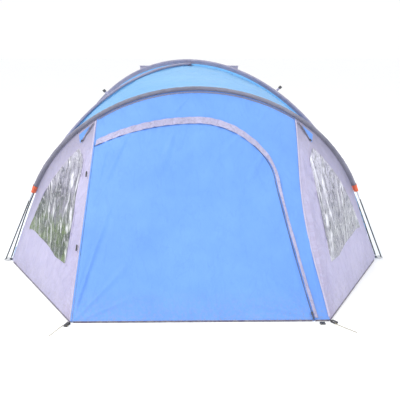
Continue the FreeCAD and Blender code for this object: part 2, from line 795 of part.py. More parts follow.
corners = [
    Vec(-HOOD_HINGE_HALF, HOOD_HINGE_Y, HOOD_HINGE_Z),
    Vec(HOOD_HINGE_HALF, HOOD_HINGE_Y, HOOD_HINGE_Z),
    Vec(HOOD_EDGE_HALF, HOOD_EDGE_Y, HOOD_EDGE_Z),
    Vec(-HOOD_EDGE_HALF, HOOD_EDGE_Y, HOOD_EDGE_Z),
]
save("vent_hood", prism(corners, Vec(0, 0, FABRIC)))
prop_top = Vec(0, PROP_Y, hood_height(PROP_Y) - PROP_R - 2)
save("vent_prop", rod(prop_top, prop_top - Vec(0, 0, PROP_LEN), PROP_R))

# ---- guy-out points -----------------------------------------------------------------------------

loops = []
tensioners = []
for arch in (pole_low, pole_high):
    run = arch.run_at(-GUY_X * DIAGONAL / CABIN_HALF_X)
    point = arch.point(run)
    out = Vec(point.x, 0, 0).normalize() * 0.93 + Vec(0, 0, 0.36)
    out.normalize()
    along = arch.tangent(run)
    up = along.cross(out).cross(along).normalize()
    loops.append(block(point + up * (SLEEVE_R + 14), up, along, 24, 2, 16))
    tensioners.append(block(point + up * (SLEEVE_R + 37.5), up, along, 20, 7, 20))
save("guy_loops", *loops)
save("guy_tensioners", *tensioners)

# ---- pegs and their straps ----------------------------------------------------------------------

left_out = Vec(-0.36, -0.93, 0).normalize()
right_out = Vec(0.62, -0.78, 0).normalize()
left_corner = Vec(-HEM_HALF_X, HEM_Y, 0) + left_out * 10
right_corner = Vec(HEM_HALF_X, HEM_Y, 0) + right_out * 10
save("front_strap_left", webbing_loop(left_corner, left_corner + left_out * 46, 16, 13))
save("front_strap_right", webbing_loop(right_corner, right_corner + right_out * 40, 16, 13))
lock_centre = right_corner + Vec(-52, -26, 4)
lock = block(lock_centre, Vec(1, 0, 0), Vec(0, 0, 1), 28, 24, 5)
for shift in (-7, 7):
    lock = lock.cut(block(lock_centre + Vec(shift, 0, 0), Vec(1, 0, 0), Vec(0, 0, 1), 6, 16, 8))
save("ladder_lock", lock)

for name, corner, out in (("peg_left", left_corner, left_out), ("peg_right", right_corner, right_out)):
    across = Vec(0, 0, 1).cross(out).normalize()
    height = Vec(0, 0, PEG_Z)
    path = [
        corner + out * 36 + across * 13 + height,
        corner + out * 36 - across * 15 + height,
        corner + out * PEG_LEN - across * 15 + height,
    ]
    save(name, bent_rod(path, PEG_R, 5.0))
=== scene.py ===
"""Looks of the dome tent with its porch: fabric, sleeves, windows and small fittings on the CAD frame.

Everything is in metres in the frame's own axes: +Z up, the porch door facing -Y. Panels are written in shares (s, t)
of a surface: s along its foot, t from its foot to its top.
"""

from math import acos, asin, atan2, cos, exp, hypot, pi, radians, sin, sqrt, tan

import bpy
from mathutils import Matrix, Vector, noise


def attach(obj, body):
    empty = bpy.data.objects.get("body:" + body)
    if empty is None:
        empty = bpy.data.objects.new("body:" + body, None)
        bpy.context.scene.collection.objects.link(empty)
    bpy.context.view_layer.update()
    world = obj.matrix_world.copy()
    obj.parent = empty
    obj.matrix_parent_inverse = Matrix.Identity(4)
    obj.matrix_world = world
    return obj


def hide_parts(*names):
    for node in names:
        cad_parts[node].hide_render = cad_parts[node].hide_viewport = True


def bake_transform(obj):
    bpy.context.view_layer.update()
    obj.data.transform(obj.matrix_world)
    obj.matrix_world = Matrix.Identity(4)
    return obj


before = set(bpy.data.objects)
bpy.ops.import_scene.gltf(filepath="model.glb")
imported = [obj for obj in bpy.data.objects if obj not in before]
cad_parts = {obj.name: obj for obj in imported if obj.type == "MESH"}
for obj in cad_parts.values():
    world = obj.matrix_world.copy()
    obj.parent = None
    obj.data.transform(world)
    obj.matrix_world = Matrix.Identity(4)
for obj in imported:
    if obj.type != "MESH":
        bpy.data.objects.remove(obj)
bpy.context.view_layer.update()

# ---- sizes, the same as the frame's ----

CABIN_X = 1.270
CABIN_Y = 1.080
APEX_LOW = 1.280
APEX_STEP = 0.026
MAIN_LEG = radians(66.0)
PORCH_X = 1.300
PORCH_Y = -1.115
PORCH_RISE = 1.233
PORCH_LEG = radians(65.5)
PORCH_LEAN = radians(14.6)
SEAM_X = 0.610
HEM_X = 0.700
HEM_Y = -2.150
WALL_INSET = 0.045
SLEEVE_DROP = 0.015
SLEEVE_FOOT = 0.535
PORCH_SLEEVE_FOOT = 0.630
FABRIC_FOOT = 0.010
HEM_HEIGHT = 0.005
FRONT_SLOPE = 0.617  # how far the front wall leans back for each unit of height
FRONT_RUN = 1.22  # from the front hem up the wall to the brow
DIAGONAL = hypot(CABIN_X, CABIN_Y)

# The door and what follows its edge, in shares of the front wall.
DOOR_LEFT = -0.985
DOOR_SPRING = 0.61
DOOR_TOP = 0.840
DOOR_FOOT = 0.866
DOOR_SHOULDER = 0.677
EDGE_RATIO = 0.55
TOP_END, BEND_END = 0.3, 0.65  # where the edge's level run and its bend end, along it
ZIP_INNER = 0.004
ZIP_OUTER = 0.018
TAPE_EDGE = 0.002
FLAP_OUTER = 0.052

# Window, corner gusset and vent outlines, in shares of their panels.
WINDOW = (
    (0.130, 0.245), (0.250, 0.280), (0.470, 0.465), (0.675, 0.735), (0.340, 0.845), (0.100, 0.893), (0.060, 0.800),
)
WINDOW_CENTRE = (0.37, 0.50)
WINDOW_ROUND = 0.15
GUSSET = ((0.098, 0.918), (0.112, 0.976), (0.040, 0.982))
VENT_HALF, VENT_LOW, VENT_HIGH = 0.6, 0.64, 0.80
VENT_MIDDLE = 0.72

# The inner wall and its door: place and lean of the wall, then x and height of the doorway.
WALL_Y = -1.022
WALL_LEAN = 0.42
INNER_LEFT, INNER_RIGHT, INNER_LOW, INNER_TOP, INNER_BEND = -0.56, 0.14, 0.06, 0.90, 0.26
INNER_CENTRE = (-0.21, 0.48)
WALL_TOP = 0.98

# The vent hood's half widths and its places along the tent, at the crossing and at its rim.
HOOD_HALF = (0.205, 0.458)
HOOD_Y = (0.235, 0.560)
HOOD_HEIGHT = 1.2476

FINE = 1.0


def count(number):
    return max(2, round(number * FINE))


# ---- camera, light and floor ----


def set_stage():
    camera = bpy.data.objects.new("camera", bpy.data.cameras.new("camera"))
    bpy.context.scene.collection.objects.link(camera)
    camera.data.lens = 59.9
    camera.data.sensor_width = 36.0
    camera.data.shift_x = 0.0376
    camera.location = (-0.140, -5.476, 1.499)
    camera.rotation_euler = (pi / 2 - 0.2418, 0.0, -0.0171)
    bpy.context.scene.camera = camera

    world = bpy.data.worlds.new("sky")
    bpy.context.scene.world = world
    world.use_nodes = True
    back = world.node_tree.nodes["Background"]
    back.inputs["Color"].default_value = (0.985, 0.99, 1.0, 1.0)
    back.inputs["Strength"].default_value = 1.02

    for name, place, size, power, colour in (
        ("key", (-3.4, -3.8, 4.8), 1.4, 190.0, (1.0, 0.985, 0.96)),
        ("fill", (3.6, -3.4, 3.0), 3.0, 55.0, (0.96, 0.98, 1.0)),
        ("rim", (0.6, 4.4, 4.2), 3.0, 50.0, (1.0, 1.0, 1.0)),
    ):
        light = bpy.data.lights.new(name, "AREA")
        light.energy = power
        light.size = size
        light.color = colour
        lamp = bpy.data.objects.new(name, light)
        bpy.context.scene.collection.objects.link(lamp)
        lamp.location = place
        lamp.rotation_euler = (Vector((0, -0.4, 0.4)) - Vector(place)).to_track_quat("-Z", "Y").to_euler()

    mesh = bpy.data.meshes.new("floor")
    size, under = 40.0, -0.0004
    corners = [(-size, -size, under), (size, -size, under), (size, size, under), (-size, size, under)]
    mesh.from_pydata(corners, [], [(0, 1, 2, 3)])
    floor = bpy.data.objects.new("floor", mesh)
    bpy.context.scene.collection.objects.link(floor)
    kit = Nodes("studio_floor")
    tint = kit.mix(kit.noise(0.6), (0.980, 0.985, 0.985), (0.990, 0.990, 0.990))
    floor.data.materials.append(kit.finish(tint, 0.9))
    bpy.context.scene.view_settings.view_transform = "Standard"


# ---- material helpers ----


def dim(colour, share):
    return tuple(c * share for c in colour)


def lighter(colour, share, lift):
    return tuple(min(c * share + lift, 1) for c in colour)


class Nodes:
    """Short calls for building one node material."""

    def __init__(self, name):
        self.material = bpy.data.materials.new(name)
        self.material.use_nodes = True
        self.tree = self.material.node_tree
        self.shader = self.tree.nodes["Principled BSDF"]
        self.output = self.tree.nodes["Material Output"]

    def put(self, socket, value):
        """Links an output or sets a value; a colour may come without its alpha."""
        if hasattr(value, "is_output"):
            self.tree.links.new(value, socket)
        elif socket.type == "RGBA":
            socket.default_value = (*value, 1.0)[:4]
        else:
            socket.default_value = value

    def add(self, kind, **settings):
        """A node: lower-case names set its properties, the others its inputs."""
        node = self.tree.nodes.new("ShaderNode" + kind)
        for key, value in settings.items():
            if key.islower():
                setattr(node, key, value)
            else:
                self.put(node.inputs[key.replace("_", " ")], value)
        return node

    def math(self, operation, *values):
        node = self.add("Math", operation=operation)
        for slot, value in enumerate(values):
            self.put(node.inputs[slot], value)
        return node.outputs[0]

    def times(self, a, b):
        return self.math("MULTIPLY", a, b)

    def plus(self, a, b):
        return self.math("ADD", a, b)

    def mix(self, factor, first, second):
        node = self.add("Mix", data_type="RGBA", blend_type="MIX")
        for slot, value in ((0, factor), (6, first), (7, second)):
            self.put(node.inputs[slot], value)
        return node.outputs[2]

    def blend(self, factor, first, second):
        """Shows a mix of two shaders."""
        node = self.add("MixShader")
        for slot, value in enumerate((factor, first.outputs[0], second.outputs[0])):
            self.put(node.inputs[slot], value)
        self.put(self.output.inputs["Surface"], node.outputs[0])
        return self.material

    def coordinates(self, kind="Object"):
        return self.add("TexCoord").outputs[kind]

    def mapped(self, where, **settings):
        return self.add("Mapping", Vector=where, **settings).outputs[0]

    def split(self):
        return self.add("SeparateXYZ", Vector=self.coordinates())

    def noise(self, scale, detail=3.0, roughness=0.55, where=None):
        where = where or self.coordinates()
        node = self.add("TexNoise", Scale=scale, Detail=detail, Roughness=roughness, Vector=where)
        return node.outputs["Fac"]

    def ramp(self, value, low, high):
        return self.add("MapRange", Value=value, From_Min=low, From_Max=high).outputs["Result"]

    def grid(self, uv, width, height, line):
        """A net of lines on UVs in metres."""
        return self.add("TexBrick", offset=0.0, Scale=1.0, Vector=uv, Brick_Width=width, Row_Height=height,
                        Mortar_Size=line).outputs["Fac"]

    def wave(self, where, pitch, axis):
        return self.add("TexWave", bands_direction=axis, Scale=pi / (10 * pitch),
                        Vector=where).outputs["Fac"]

    def veins(self, where, across, up, width):
        """Thin wandering lines, like creases pressed in, where stretched noise crosses its middle."""
        place = self.mapped(where, Scale=(across, up, 1.0))
        wave = self.add("TexNoise", Scale=1.0, Detail=2.5, Roughness=0.55, Distortion=0.6, Vector=place)
        gap = self.math("ABSOLUTE", self.math("SUBTRACT", wave.outputs["Fac"], 0.5))
        return self.ramp(gap, width, 0.0)

    def bump(self, height, strength, distance, below=None):
        node = self.add("Bump", Strength=strength, Distance=distance, Height=height)
        if below is not None:
            self.put(node.inputs["Normal"], below)
        return node.outputs["Normal"]

    def finish(self, colour, roughness, normal=None):
        self.put(self.shader.inputs["Base Color"], colour)
        self.put(self.shader.inputs["Roughness"], roughness)
        if normal is not None:
            self.put(self.shader.inputs["Normal"], normal)
        return self.material


def fabric(name, colour, deep, through=0.0, pitch=0.0011, rough=0.62, crinkle=0.5, dust=0.5, crease=0.35,
           spread=(11.0, 5.0), brow=0.0):
    """Coated polyester: fine weave, ripstop grid, creases darkened with painted shade, uneven dye, painted shade
    under the porch pole where brow is set, and a little dust near the hem.
    """
    kit = Nodes(name)
    uv = kit.coordinates("UV")
    weave = kit.times(kit.wave(uv, pitch, "X"), kit.wave(uv, pitch, "Y"))
    ripstop = kit.grid(uv, 0.0055, 0.0055, 0.0004)
    fold = kit.noise(9.0, 5.0, 0.6)
    fine = kit.noise(70.0, 4.0, 0.6)
    cloud = kit.noise(1.7, 3.0)
    tint = kit.mix(kit.ramp(kit.plus(kit.times(cloud, 0.6), kit.times(fold, 0.4)), 0.35, 0.65), deep, colour)
    pressed = kit.plus(kit.times(kit.veins(uv, spread[0], spread[1], 0.020), 0.6),
                       kit.times(kit.veins(uv, spread[0] * 3.1, spread[1] * 2.6, 0.035), 0.4))
    # the crease lines are darkened in colour: painted shade in the creases
    tint = kit.mix(kit.times(pressed, crease), tint, dim(deep, 0.80))
    tint = kit.mix(kit.times(weave, 0.10), tint, dim(colour, 0.72))
    where = kit.split()
    # painted shade under the porch pole and along the gathers beside the front seams
    if brow:
        tint = paint_brow_shade(kit, tint, colour, brow, where, uv)
    low = kit.ramp(where.outputs["Z"], 0.16, 0.0)
    dirt = kit.times(kit.times(low, kit.ramp(fine, 0.42, 0.75)), dust)
    tint = kit.mix(dirt, tint, (0.36, 0.34, 0.30))
    normal = None
    for height, strength, depth in (
        (weave, 0.25, 0.0003), (ripstop, 0.15, 0.0003), (pressed, 0.9 * crease, 0.003),
        (fine, 0.28 * crinkle, 0.0025), (fold, 0.5 * crinkle, 0.012),
    ):
        normal = kit.bump(height, strength, depth, normal)
    kit.finish(tint, kit.plus(kit.times(fine, 0.18), rough - 0.09), normal)
    kit.shader.inputs["Specular IOR Level"].default_value = 0.35
    kit.shader.inputs["Sheen Weight"].default_value = 0.15
    if through > 0:
        glow = kit.add("BsdfTranslucent", Color=tint, Normal=normal)
        kit.blend(through, kit.shader, glow)
    return kit.material


def paint_brow_shade(kit, tint, colour, brow, where, uv):
    """Painted shade: darker cloth just under the porch pole, and darker gather lines beside the front seams."""
    x, y, z = where.outputs
    behind = kit.plus(y, kit.times(z, tan(PORCH_LEAN)))
    # painted shade just under the porch pole
    under = kit.times(kit.ramp(behind, PORCH_Y - 0.20, PORCH_Y - 0.03), kit.ramp(z, 0.2, 0.6))
    tint = kit.mix(kit.times(under, brow), tint, dim(colour, 0.55))
    front = kit.math("SUBTRACT", y, kit.times(z, FRONT_SLOPE))
    beside = kit.ramp(front, HEM_Y + 0.13, HEM_Y + 0.01)
    # painted shade in the gathers beside the front seams
    gather_shade = kit.times(beside, kit.veins(uv, 3.0, 24.0, 0.10))
    return kit.mix(kit.times(gather_shade, 0.5), tint, tuple(c * t for c, t in zip(colour, (0.66, 0.58, 0.64))))


def pvc(name, top_reflection, green, glint_strength, lean):
    """Clear vinyl full of upright creases: a painted pale reflection towards its top, smoky in the middle, green
    near its foot, with painted highlights and painted shade along the creases.
    """
    kit = Nodes(name)
    uv = kit.mapped(kit.coordinates("UV"), Rotation=(0.0, 0.0, lean))
    grain = kit.noise(1.0, 4.0, 0.6, kit.mapped(uv, Scale=(52.0, 6.0, 1.0)))
    patch = kit.noise(6.0, 3.0)
    wander = kit.plus(kit.times(patch, 0.55), kit.times(grain, 0.20))
    level = kit.plus(kit.split().outputs["Z"], kit.math("SUBTRACT", wander, 0.375))
    # painted reflection: the film is paled towards its top, more so on the right window
    high = kit.plus(kit.ramp(level, 0.58, 0.88), top_reflection)
    low = kit.ramp(level, 0.58, 0.40)
    wide = kit.times(kit.veins(uv, 15.0, 1.7, 0.030), kit.ramp(patch, 0.40, 0.52))
    middle = kit.times(kit.veins(uv, 38.0, 6.5, 0.026), kit.ramp(patch, 0.60, 0.40))
    fine = kit.times(kit.veins(uv, 84.0, 22.0, 0.034), kit.plus(kit.times(high, 0.7), 0.15))
    # painted white highlights along the creases
    crease_glints = kit.math("MAXIMUM", wide, kit.math("MAXIMUM", middle, fine))
    # painted dark shade beside the creases
    crease_shade = kit.math("MAXIMUM", kit.veins(uv, 21.0, 3.2, 0.034), kit.times(kit.veins(uv, 56.0, 14.0, 0.030), 0.8))
    tint = kit.mix(kit.ramp(grain, 0.36, 0.64), (0.11, 0.11, 0.15), (0.29, 0.28, 0.36))
    leaf = kit.mix(kit.ramp(patch, 0.4, 0.6), (0.030, 0.05, 0.030), (0.10, 0.165, 0.025))
    tint = kit.mix(kit.times(low, green), tint, leaf)
    # painted pale reflection towards the top
    tint = kit.mix(kit.math("MINIMUM", kit.times(high, 0.80), 0.9), tint, (0.66, 0.65, 0.80))
    # painted shade along the creases
    tint = kit.mix(kit.times(crease_shade, 0.80), tint, (0.05, 0.055, 0.065))
    # painted highlights on the creases
    tint = kit.mix(kit.times(crease_glints, glint_strength), tint, (0.84, 0.85, 0.93))
    kit.finish(tint, 0.16, kit.bump(grain, 0.7, 0.008, kit.bump(crease_glints, 0.8, 0.005)))
    kit.shader.inputs["Specular IOR Level"].default_value = 0.8
    clear = kit.add("BsdfTransparent", Color=(0.80, 0.84, 0.80))
    return kit.blend(kit.plus(kit.times(crease_glints, 0.06), 0.92), clear, kit.shader)


def stitched(name, colour, thread):
    """Folded seam with two rows of stitches along it, on UVs of run and offset in metres; its puckers are darkened
    with painted shade.
    """
    kit = Nodes(name)
    uv = kit.coordinates("UV")
    rows = kit.grid(uv, 0.0042, 0.0040, 0.0007)
    pull = kit.veins(uv, 120.0, 14.0, 0.10)
    # puckers darkened in colour: painted shade in the gathers
    tint = kit.mix(kit.times(pull, 0.35), colour, dim(colour, 0.62))
    tint = kit.mix(kit.times(rows, 0.45), tint, thread)
    return kit.finish(tint, 0.7, kit.bump(rows, 0.5, 0.0006, kit.bump(pull, 0.7, 0.0016)))


def netting(name):
    """Fine insect mesh: a grid of threads with clear holes between them."""
    kit = Nodes(name)
    grid = kit.grid(kit.coordinates("UV"), 0.0022, 0.0022, 0.0007)
    tint = kit.mix(kit.noise(4.0), (0.03, 0.03, 0.04), (0.055, 0.055, 0.065))
    kit.finish(tint, 0.8, kit.bump(grid, 0.5, 0.0006))
    return kit.blend(kit.ramp(grid, 0.0, 0.45), kit.add("BsdfTransparent"), kit.shader)


def webbing(name, colour, light):
    """Woven strap: ribs across it, a slight fuzz and worn edges."""
    kit = Nodes(name)
    ribs = kit.add("TexWave", Scale=180.0, Distortion=0.4, bands_direction="DIAGONAL",
                   Vector=kit.coordinates()).outputs["Fac"]
    fuzz = kit.noise(260.0, 3.0)
    worn = kit.add("NewGeometry").outputs["Pointiness"]
    tint = kit.mix(kit.times(ribs, 0.5), colour, light)
    tint = kit.mix(kit.times(kit.ramp(worn, 0.52, 0.62), 0.4), tint, lighter(light, 2, 0.05))
    return kit.finish(tint, 0.8, kit.bump(fuzz, 0.4, 0.0004, kit.bump(ribs, 0.5, 0.0006)))


def hard(name, colour, light, rough, grain=90.0, metal=0.0):
    """Moulded or drawn material with flow marks, scuffs and brighter edges."""
    kit = Nodes(name)
    place = kit.mapped(kit.coordinates())
    marks = kit.noise(grain, 5.0, 0.6, place)
    large = kit.noise(grain / 9, 3.0, 0.5, place)
    edge = kit.add("NewGeometry").outputs["Pointiness"]
    tint = kit.mix(kit.ramp(large, 0.35, 0.7), colour, light)
    tint = kit.mix(kit.times(kit.ramp(edge, 0.53, 0.66), 0.45), tint, lighter(light, 1.8, 0.06))
    kit.shader.inputs["Metallic"].default_value = metal
    return kit.finish(tint, kit.plus(kit.times(marks, 0.22), rough - 0.1), kit.bump(marks, 0.22, 0.0006))


def zip_coil(name):
    """Zip: dark tape with a row of teeth down its middle, on UVs in metres."""
    kit = Nodes(name)
    teeth = kit.wave(kit.coordinates("UV"), 0.0022, "X")
    tint = kit.mix(kit.times(teeth, 0.6), (0.07, 0.07, 0.10), (0.20, 0.20, 0.26))
    return kit.finish(tint, 0.5, kit.bump(kit.noise(300.0), 0.3, 0.0003, kit.bump(teeth, 0.8, 0.0012)))


# ---- materials ----

BLUE = fabric("polyester_blue", (0.185, 0.40, 0.93), (0.15, 0.34, 0.86), through=0.22, crease=0.26)
ROOF = fabric("polyester_blue_roof", (0.235, 0.57, 0.93), (0.19, 0.50, 0.88), through=0.32, crease=0.38)
# GREY's brow setting paints shade under the porch pole and in the gathers beside the front seams
GREY = fabric("polyester_lavender", (0.66, 0.62, 0.80), (0.53, 0.50, 0.70), through=0.30, crinkle=1.6, crease=0.55,
              spread=(15.0, 3.4), brow=0.75)
FLAP = fabric("polyester_flap", (0.50, 0.48, 0.66), (0.38, 0.37, 0.54), through=0.1, crinkle=1.4, crease=0.9,
              spread=(30.0, 22.0))
PALE = fabric("sleeve_pale", (0.38, 0.37, 0.50), (0.27, 0.26, 0.38), through=0.1, crinkle=1.4, crease=0.8,
              spread=(7.0, 90.0))
DARK = fabric("sleeve_dark", (0.25, 0.25, 0.32), (0.16, 0.16, 0.22), crinkle=1.4, crease=0.8,
              spread=(7.0, 90.0))
ORANGE = fabric("tab_orange", (0.80, 0.17, 0.07), (0.68, 0.11, 0.05), crinkle=1.0)
BINDING = fabric("binding_dark", (0.13, 0.115, 0.19), (0.09, 0.08, 0.14), crinkle=1.2, dust=0.8)
FLOOR = fabric("floor_coated", (0.20, 0.22, 0.26), (0.15, 0.17, 0.20), pitch=0.004, rough=0.5)
INNER = fabric("inner_breathable", (0.44, 0.44, 0.50), (0.38, 0.38, 0.44), through=0.35)
# vinyl settings: painted pale top reflection, green tint near the foot, painted crease highlights, lean of the
# creases
VINYL_LEFT = pvc("window_vinyl_left", 0.0, 0.95, 0.75, 0.45)
VINYL_RIGHT = pvc("window_vinyl_right", 0.55, 0.60, 0.95, 0.40)
SEAM_PALE = stitched("seam_lavender", (0.47, 0.44, 0.61), (0.60, 0.58, 0.74))
# a real seam, its dark colour partly painted shade under the porch sleeve
SEAM_DARK = stitched("seam_grey", (0.17, 0.18, 0.30), (0.28, 0.29, 0.42))
MESH = netting("insect_mesh")
WEBBING = webbing("webbing_black", (0.016, 0.016, 0.02), (0.045, 0.045, 0.05))
ELASTIC = webbing("elastic_white", (0.72, 0.72, 0.70), (0.86, 0.86, 0.84))
ZIP = zip_coil("zip_coil")
POLE = hard("pole_fibreglass", (0.018, 0.018, 0.02), (0.04, 0.04, 0.044), 0.34, 140.0)
STEEL = hard("steel_plated", (0.42, 0.42, 0.43), (0.62, 0.62, 0.63), 0.34, 160.0, 1.0)
PLASTIC = hard("plastic_black", (0.014, 0.014, 0.016), (0.035, 0.035, 0.038), 0.42, 220.0)
PEG = hard("peg_painted", (0.20, 0.17, 0.10), (0.33, 0.29, 0.19), 0.5, 180.0, 0.2)

# ---- arches and fabric surfaces, the same as the frame's ----


class Arch:
    """A straight leg at each foot and one arc between them; runs go from the left foot."""

    def __init__(self, half, rise, slope, place):
        det = cos(slope) * (1 - cos(slope)) - sin(slope) ** 2
        self.half, self.rise, self.slope, self.place = half, rise, slope, place
        self.leg = (half * (1 - cos(slope)) - rise * sin(slope)) / det
        self.radius = (rise * cos(slope) - half * sin(slope)) / det
        self.length = self.leg + self.radius * slope

    def at(self, run):
        side = -1.0
        if run > self.length:
            run = 2 * self.length - run
            side = 1.0
        if run <= self.leg:
            return side * (self.half - run * cos(self.slope)), run * sin(self.slope)
        turn = self.slope - (run - self.leg) / self.radius
        return side * self.radius * sin(turn), self.rise - self.radius + self.radius * cos(turn)

    def run_at(self, u):
        size = abs(u)
        if size >= self.radius * sin(self.slope):
            run = (self.half - size) / cos(self.slope)
        else:
            run = self.leg + self.radius * (self.slope - asin(size / self.radius))
        return run if u < 0 else 2 * self.length - run

    def point(self, run):
        return self.place(*self.at(run))

    def tangent(self, run):
        return (self.point(run + 0.001) - self.point(run - 0.001)).normalized()


def diagonal(side_x):
    return lambda u, height: Vector((side_x * u * CABIN_X / DIAGONAL, u * CABIN_Y / DIAGONAL, height))


def leaning(u, height):
    return Vector((u, PORCH_Y - height * sin(PORCH_LEAN), height * cos(PORCH_LEAN)))


# The poles, and the seams that the panels hang from just inside them.
pole_low = Arch(DIAGONAL, APEX_LOW, MAIN_LEG, diagonal(1))
pole_high = Arch(DIAGONAL, APEX_LOW + APEX_STEP, MAIN_LEG, diagonal(-1))
pole_porch = Arch(PORCH_X, PORCH_RISE, PORCH_LEG, leaning)
roof_line, roof_mirror = (
    Arch(DIAGONAL - WALL_INSET, APEX_LOW - SLEEVE_DROP, MAIN_LEG + radians(1.7), diagonal(side))
    for side in (1, -1)
)
brow_line = Arch(PORCH_X - WALL_INSET, PORCH_RISE - SLEEVE_DROP, PORCH_LEG + radians(1.9), leaning)

SEAM_RUN = brow_line.run_at(-SEAM_X)
FRONT_CORNER = Vector((-HEM_X, HEM_Y, FABRIC_FOOT))
WALL_CORNER = Vector((-(PORCH_X - WALL_INSET), PORCH_Y, FABRIC_FOOT))


def front_surface(s, t):
    top = brow_line.point(SEAM_RUN + (brow_line.length - SEAM_RUN) * (1 + s))
    return Vector((s * HEM_X, HEM_Y, FABRIC_FOOT)).lerp(top, t)


def side_surface(s, t):
    return FRONT_CORNER.lerp(WALL_CORNER, s).lerp(brow_line.point(SEAM_RUN * (1 - s)), t)


def porch_roof_surface(s, t):
    front = brow_line.point(2 * brow_line.length * s)
    line = roof_line if s <= 0.5 else roof_mirror
    return front.lerp(line.point(2 * roof_line.length * min(s, 1 - s)), t)


def quadrant(share_x, share_y):
    """One of the cabin's quarters, between two neighbouring legs of the crossing poles."""

    def surface(s, t):
        u, height = roof_line.at(roof_line.length * t)
        out = abs(u) / DIAGONAL
        if share_x:
            return Vector((share_x * out * CABIN_X, s * out * CABIN_Y, height))
        return Vector((s * out * CABIN_X, share_y * out * CABIN_Y, height))

    return surface


cabin_side_surface = quadrant(-1, 0)
cabin_rear_surface = quadrant(0, 1)


def door_edge(p, offset):
    """Shares along the door's top and right edge, from the left seam round to the sill."""
    top = DOOR_TOP + offset * EDGE_RATIO
    if p <= TOP_END:
        return DOOR_LEFT * (1 - p / TOP_END), top
    if p <= BEND_END:
        turn = pi / 2 * (1 - (p - TOP_END) / (BEND_END - TOP_END))
        return (DOOR_SHOULDER + offset) * cos(turn), DOOR_SPRING + (top - DOOR_SPRING) * sin(turn)
    drop = (p - BEND_END) / (1 - BEND_END)
    return DOOR_SHOULDER + (DOOR_FOOT - DOOR_SHOULDER) * drop + offset, DOOR_SPRING * (1 - drop)


def door_shares(p, q):
    """The leaf, whose rows are level up to the arch and fan out under it."""
    grow = ZIP_INNER * 0.5
    if q <= 0.5:
        t = DOOR_SPRING * q * 2
        right = DOOR_FOOT + (DOOR_SHOULDER - DOOR_FOOT) * q * 2 + grow
        return DOOR_LEFT + (right - DOOR_LEFT) * p, t
    share = (q - 0.5) * 2
    low = DOOR_LEFT + (DOOR_SHOULDER + grow - DOOR_LEFT) * p
    high = door_edge(BEND_END * p, grow)
    return low + (high[0] - low) * share, DOOR_SPRING + (high[1] - DOOR_SPRING) * share


def right_seam(t):
    """The seam beside the door is cut in a hollow curve."""
    return 1 - 0.072 * sin(pi * min(max(t, 0.0), 1.0)) ** 1.5


def surround_shares(p, q):
    """From the door's edge out to the porch pole and the right seam."""
    inner = door_edge(p, ZIP_OUTER + TAPE_EDGE)
    height = 1 - (p - 0.5) / 0.5
    outer = (-1 + 2 * p / 0.5, 1.0) if p <= 0.5 else (right_seam(height), height)
    return inner[0] + (outer[0] - inner[0]) * q, inner[1] + (outer[1] - inner[1]) * q


def left_facing(p, q):
    """The strip between the side seam and the door's hinge, widening above the door."""
    hinge = DOOR_LEFT - 0.004 - (0.996 + DOOR_LEFT) * max(q - DOOR_TOP, 0) / (1 - DOOR_TOP)
    return -1 + (hinge + 1) * p, q


def right_facing(p, q):
    return right_seam(q) + (1 - right_seam(q)) * p, q


def edge_band(inner, outer):
    """A band that follows the door's edge between two offsets, each given for a share of its length."""

    def region(p, q):
        p = 0.004 + 0.992 * p
        return door_edge(p, inner(p) + (outer(p) - inner(p)) * q)

    return region


def part(low, high, shares):
    """A region's piece from one place along it to another."""
    return lambda p, q: shares(low + (high - low) * p, q)


def whole(s0, s1, t0, t1):
    return lambda p, q: (s0 + (s1 - s0) * p, t0 + (t1 - t0) * q)


def rounded(corners, share, steps):
    points = []
    for index, corner in enumerate(corners):
        here = Vector(corner)
        before = Vector(corners[index - 1]) - here
        after = Vector(corners[(index + 1) % len(corners)]) - here
        ease = share * min(before.length, after.length)
        first = here + before.normalized() * ease
        last = here + after.normalized() * ease
        for step in range(steps + 1):
            f = step / steps
            points.append(first * (1 - f) ** 2 + here * 2 * f * (1 - f) + last * f * f)
    return points


def reach(polygon, centre, angle):
    """Where a ray from the centre leaves a polygon."""
    ray = Vector((cos(angle), sin(angle)))
    best = 0.0
    for first, second in zip(polygon, polygon[1:] + polygon[:1]):
        first = Vector(first) - centre
        side = Vector(second) - centre - first
        cross = ray.x * side.y - ray.y * side.x
        if abs(cross) < 1e-12:
            continue
        along = (first.x * side.y - first.y * side.x) / cross
        share = (first.x * ray.y - first.y * ray.x) / cross
        if along > best and -1e-6 <= share <= 1 + 1e-6:
            best = along
    return centre + ray * best


def ring(centre, inner, outer, steps):
    """Region between two outlines round a centre, with a column through each corner, and its columns."""
    centre = Vector(centre)
    corners = list(outer) + (list(inner) if inner and len(inner) < 9 else [])
    marks = sorted(atan2(c[1] - centre.y, c[0] - centre.x) % (2 * pi) for c in corners)
    angles = []
    for first, second in zip(marks, marks[1:] + [marks[0] + 2 * pi]):
        parts = max(1, round(steps * (second - first) / (2 * pi)))
        angles += [first + (second - first) * k / parts for k in range(parts)]
    angles.append(marks[0] + 2 * pi)
    ins = [reach(inner, centre, angle) for angle in angles] if inner else [centre] * len(angles)
    outs = [reach(outer, centre, angle) for angle in angles]

    def region(p, q):
        place = round(p * (len(angles) - 1))
        return tuple(ins[place].lerp(outs[place], q))

    return region, len(angles) - 1


# ---- cloth ----


def smooth(low, high, value):
    share = min(max((value - low) / (high - low), 0.0), 1.0)
    return share * share * (3 - 2 * share)


def waver(x, y, z):
    return noise.noise(Vector((x, y, z)))


def crumple(point, scale, seed):
    """Smooth noise from about -1 to 1."""
    return noise.noise(point / scale + Vector((seed, seed * 1.7, -seed)))


def creases(point, scale, seed):
    """Sharp-crested noise, like creases pressed in by the bag."""
    value = abs(noise.noise(point / scale + Vector((seed, -seed, seed * 0.6))))
    return (1 - value * 3.2) ** 2 if value < 0.31 else 0.0


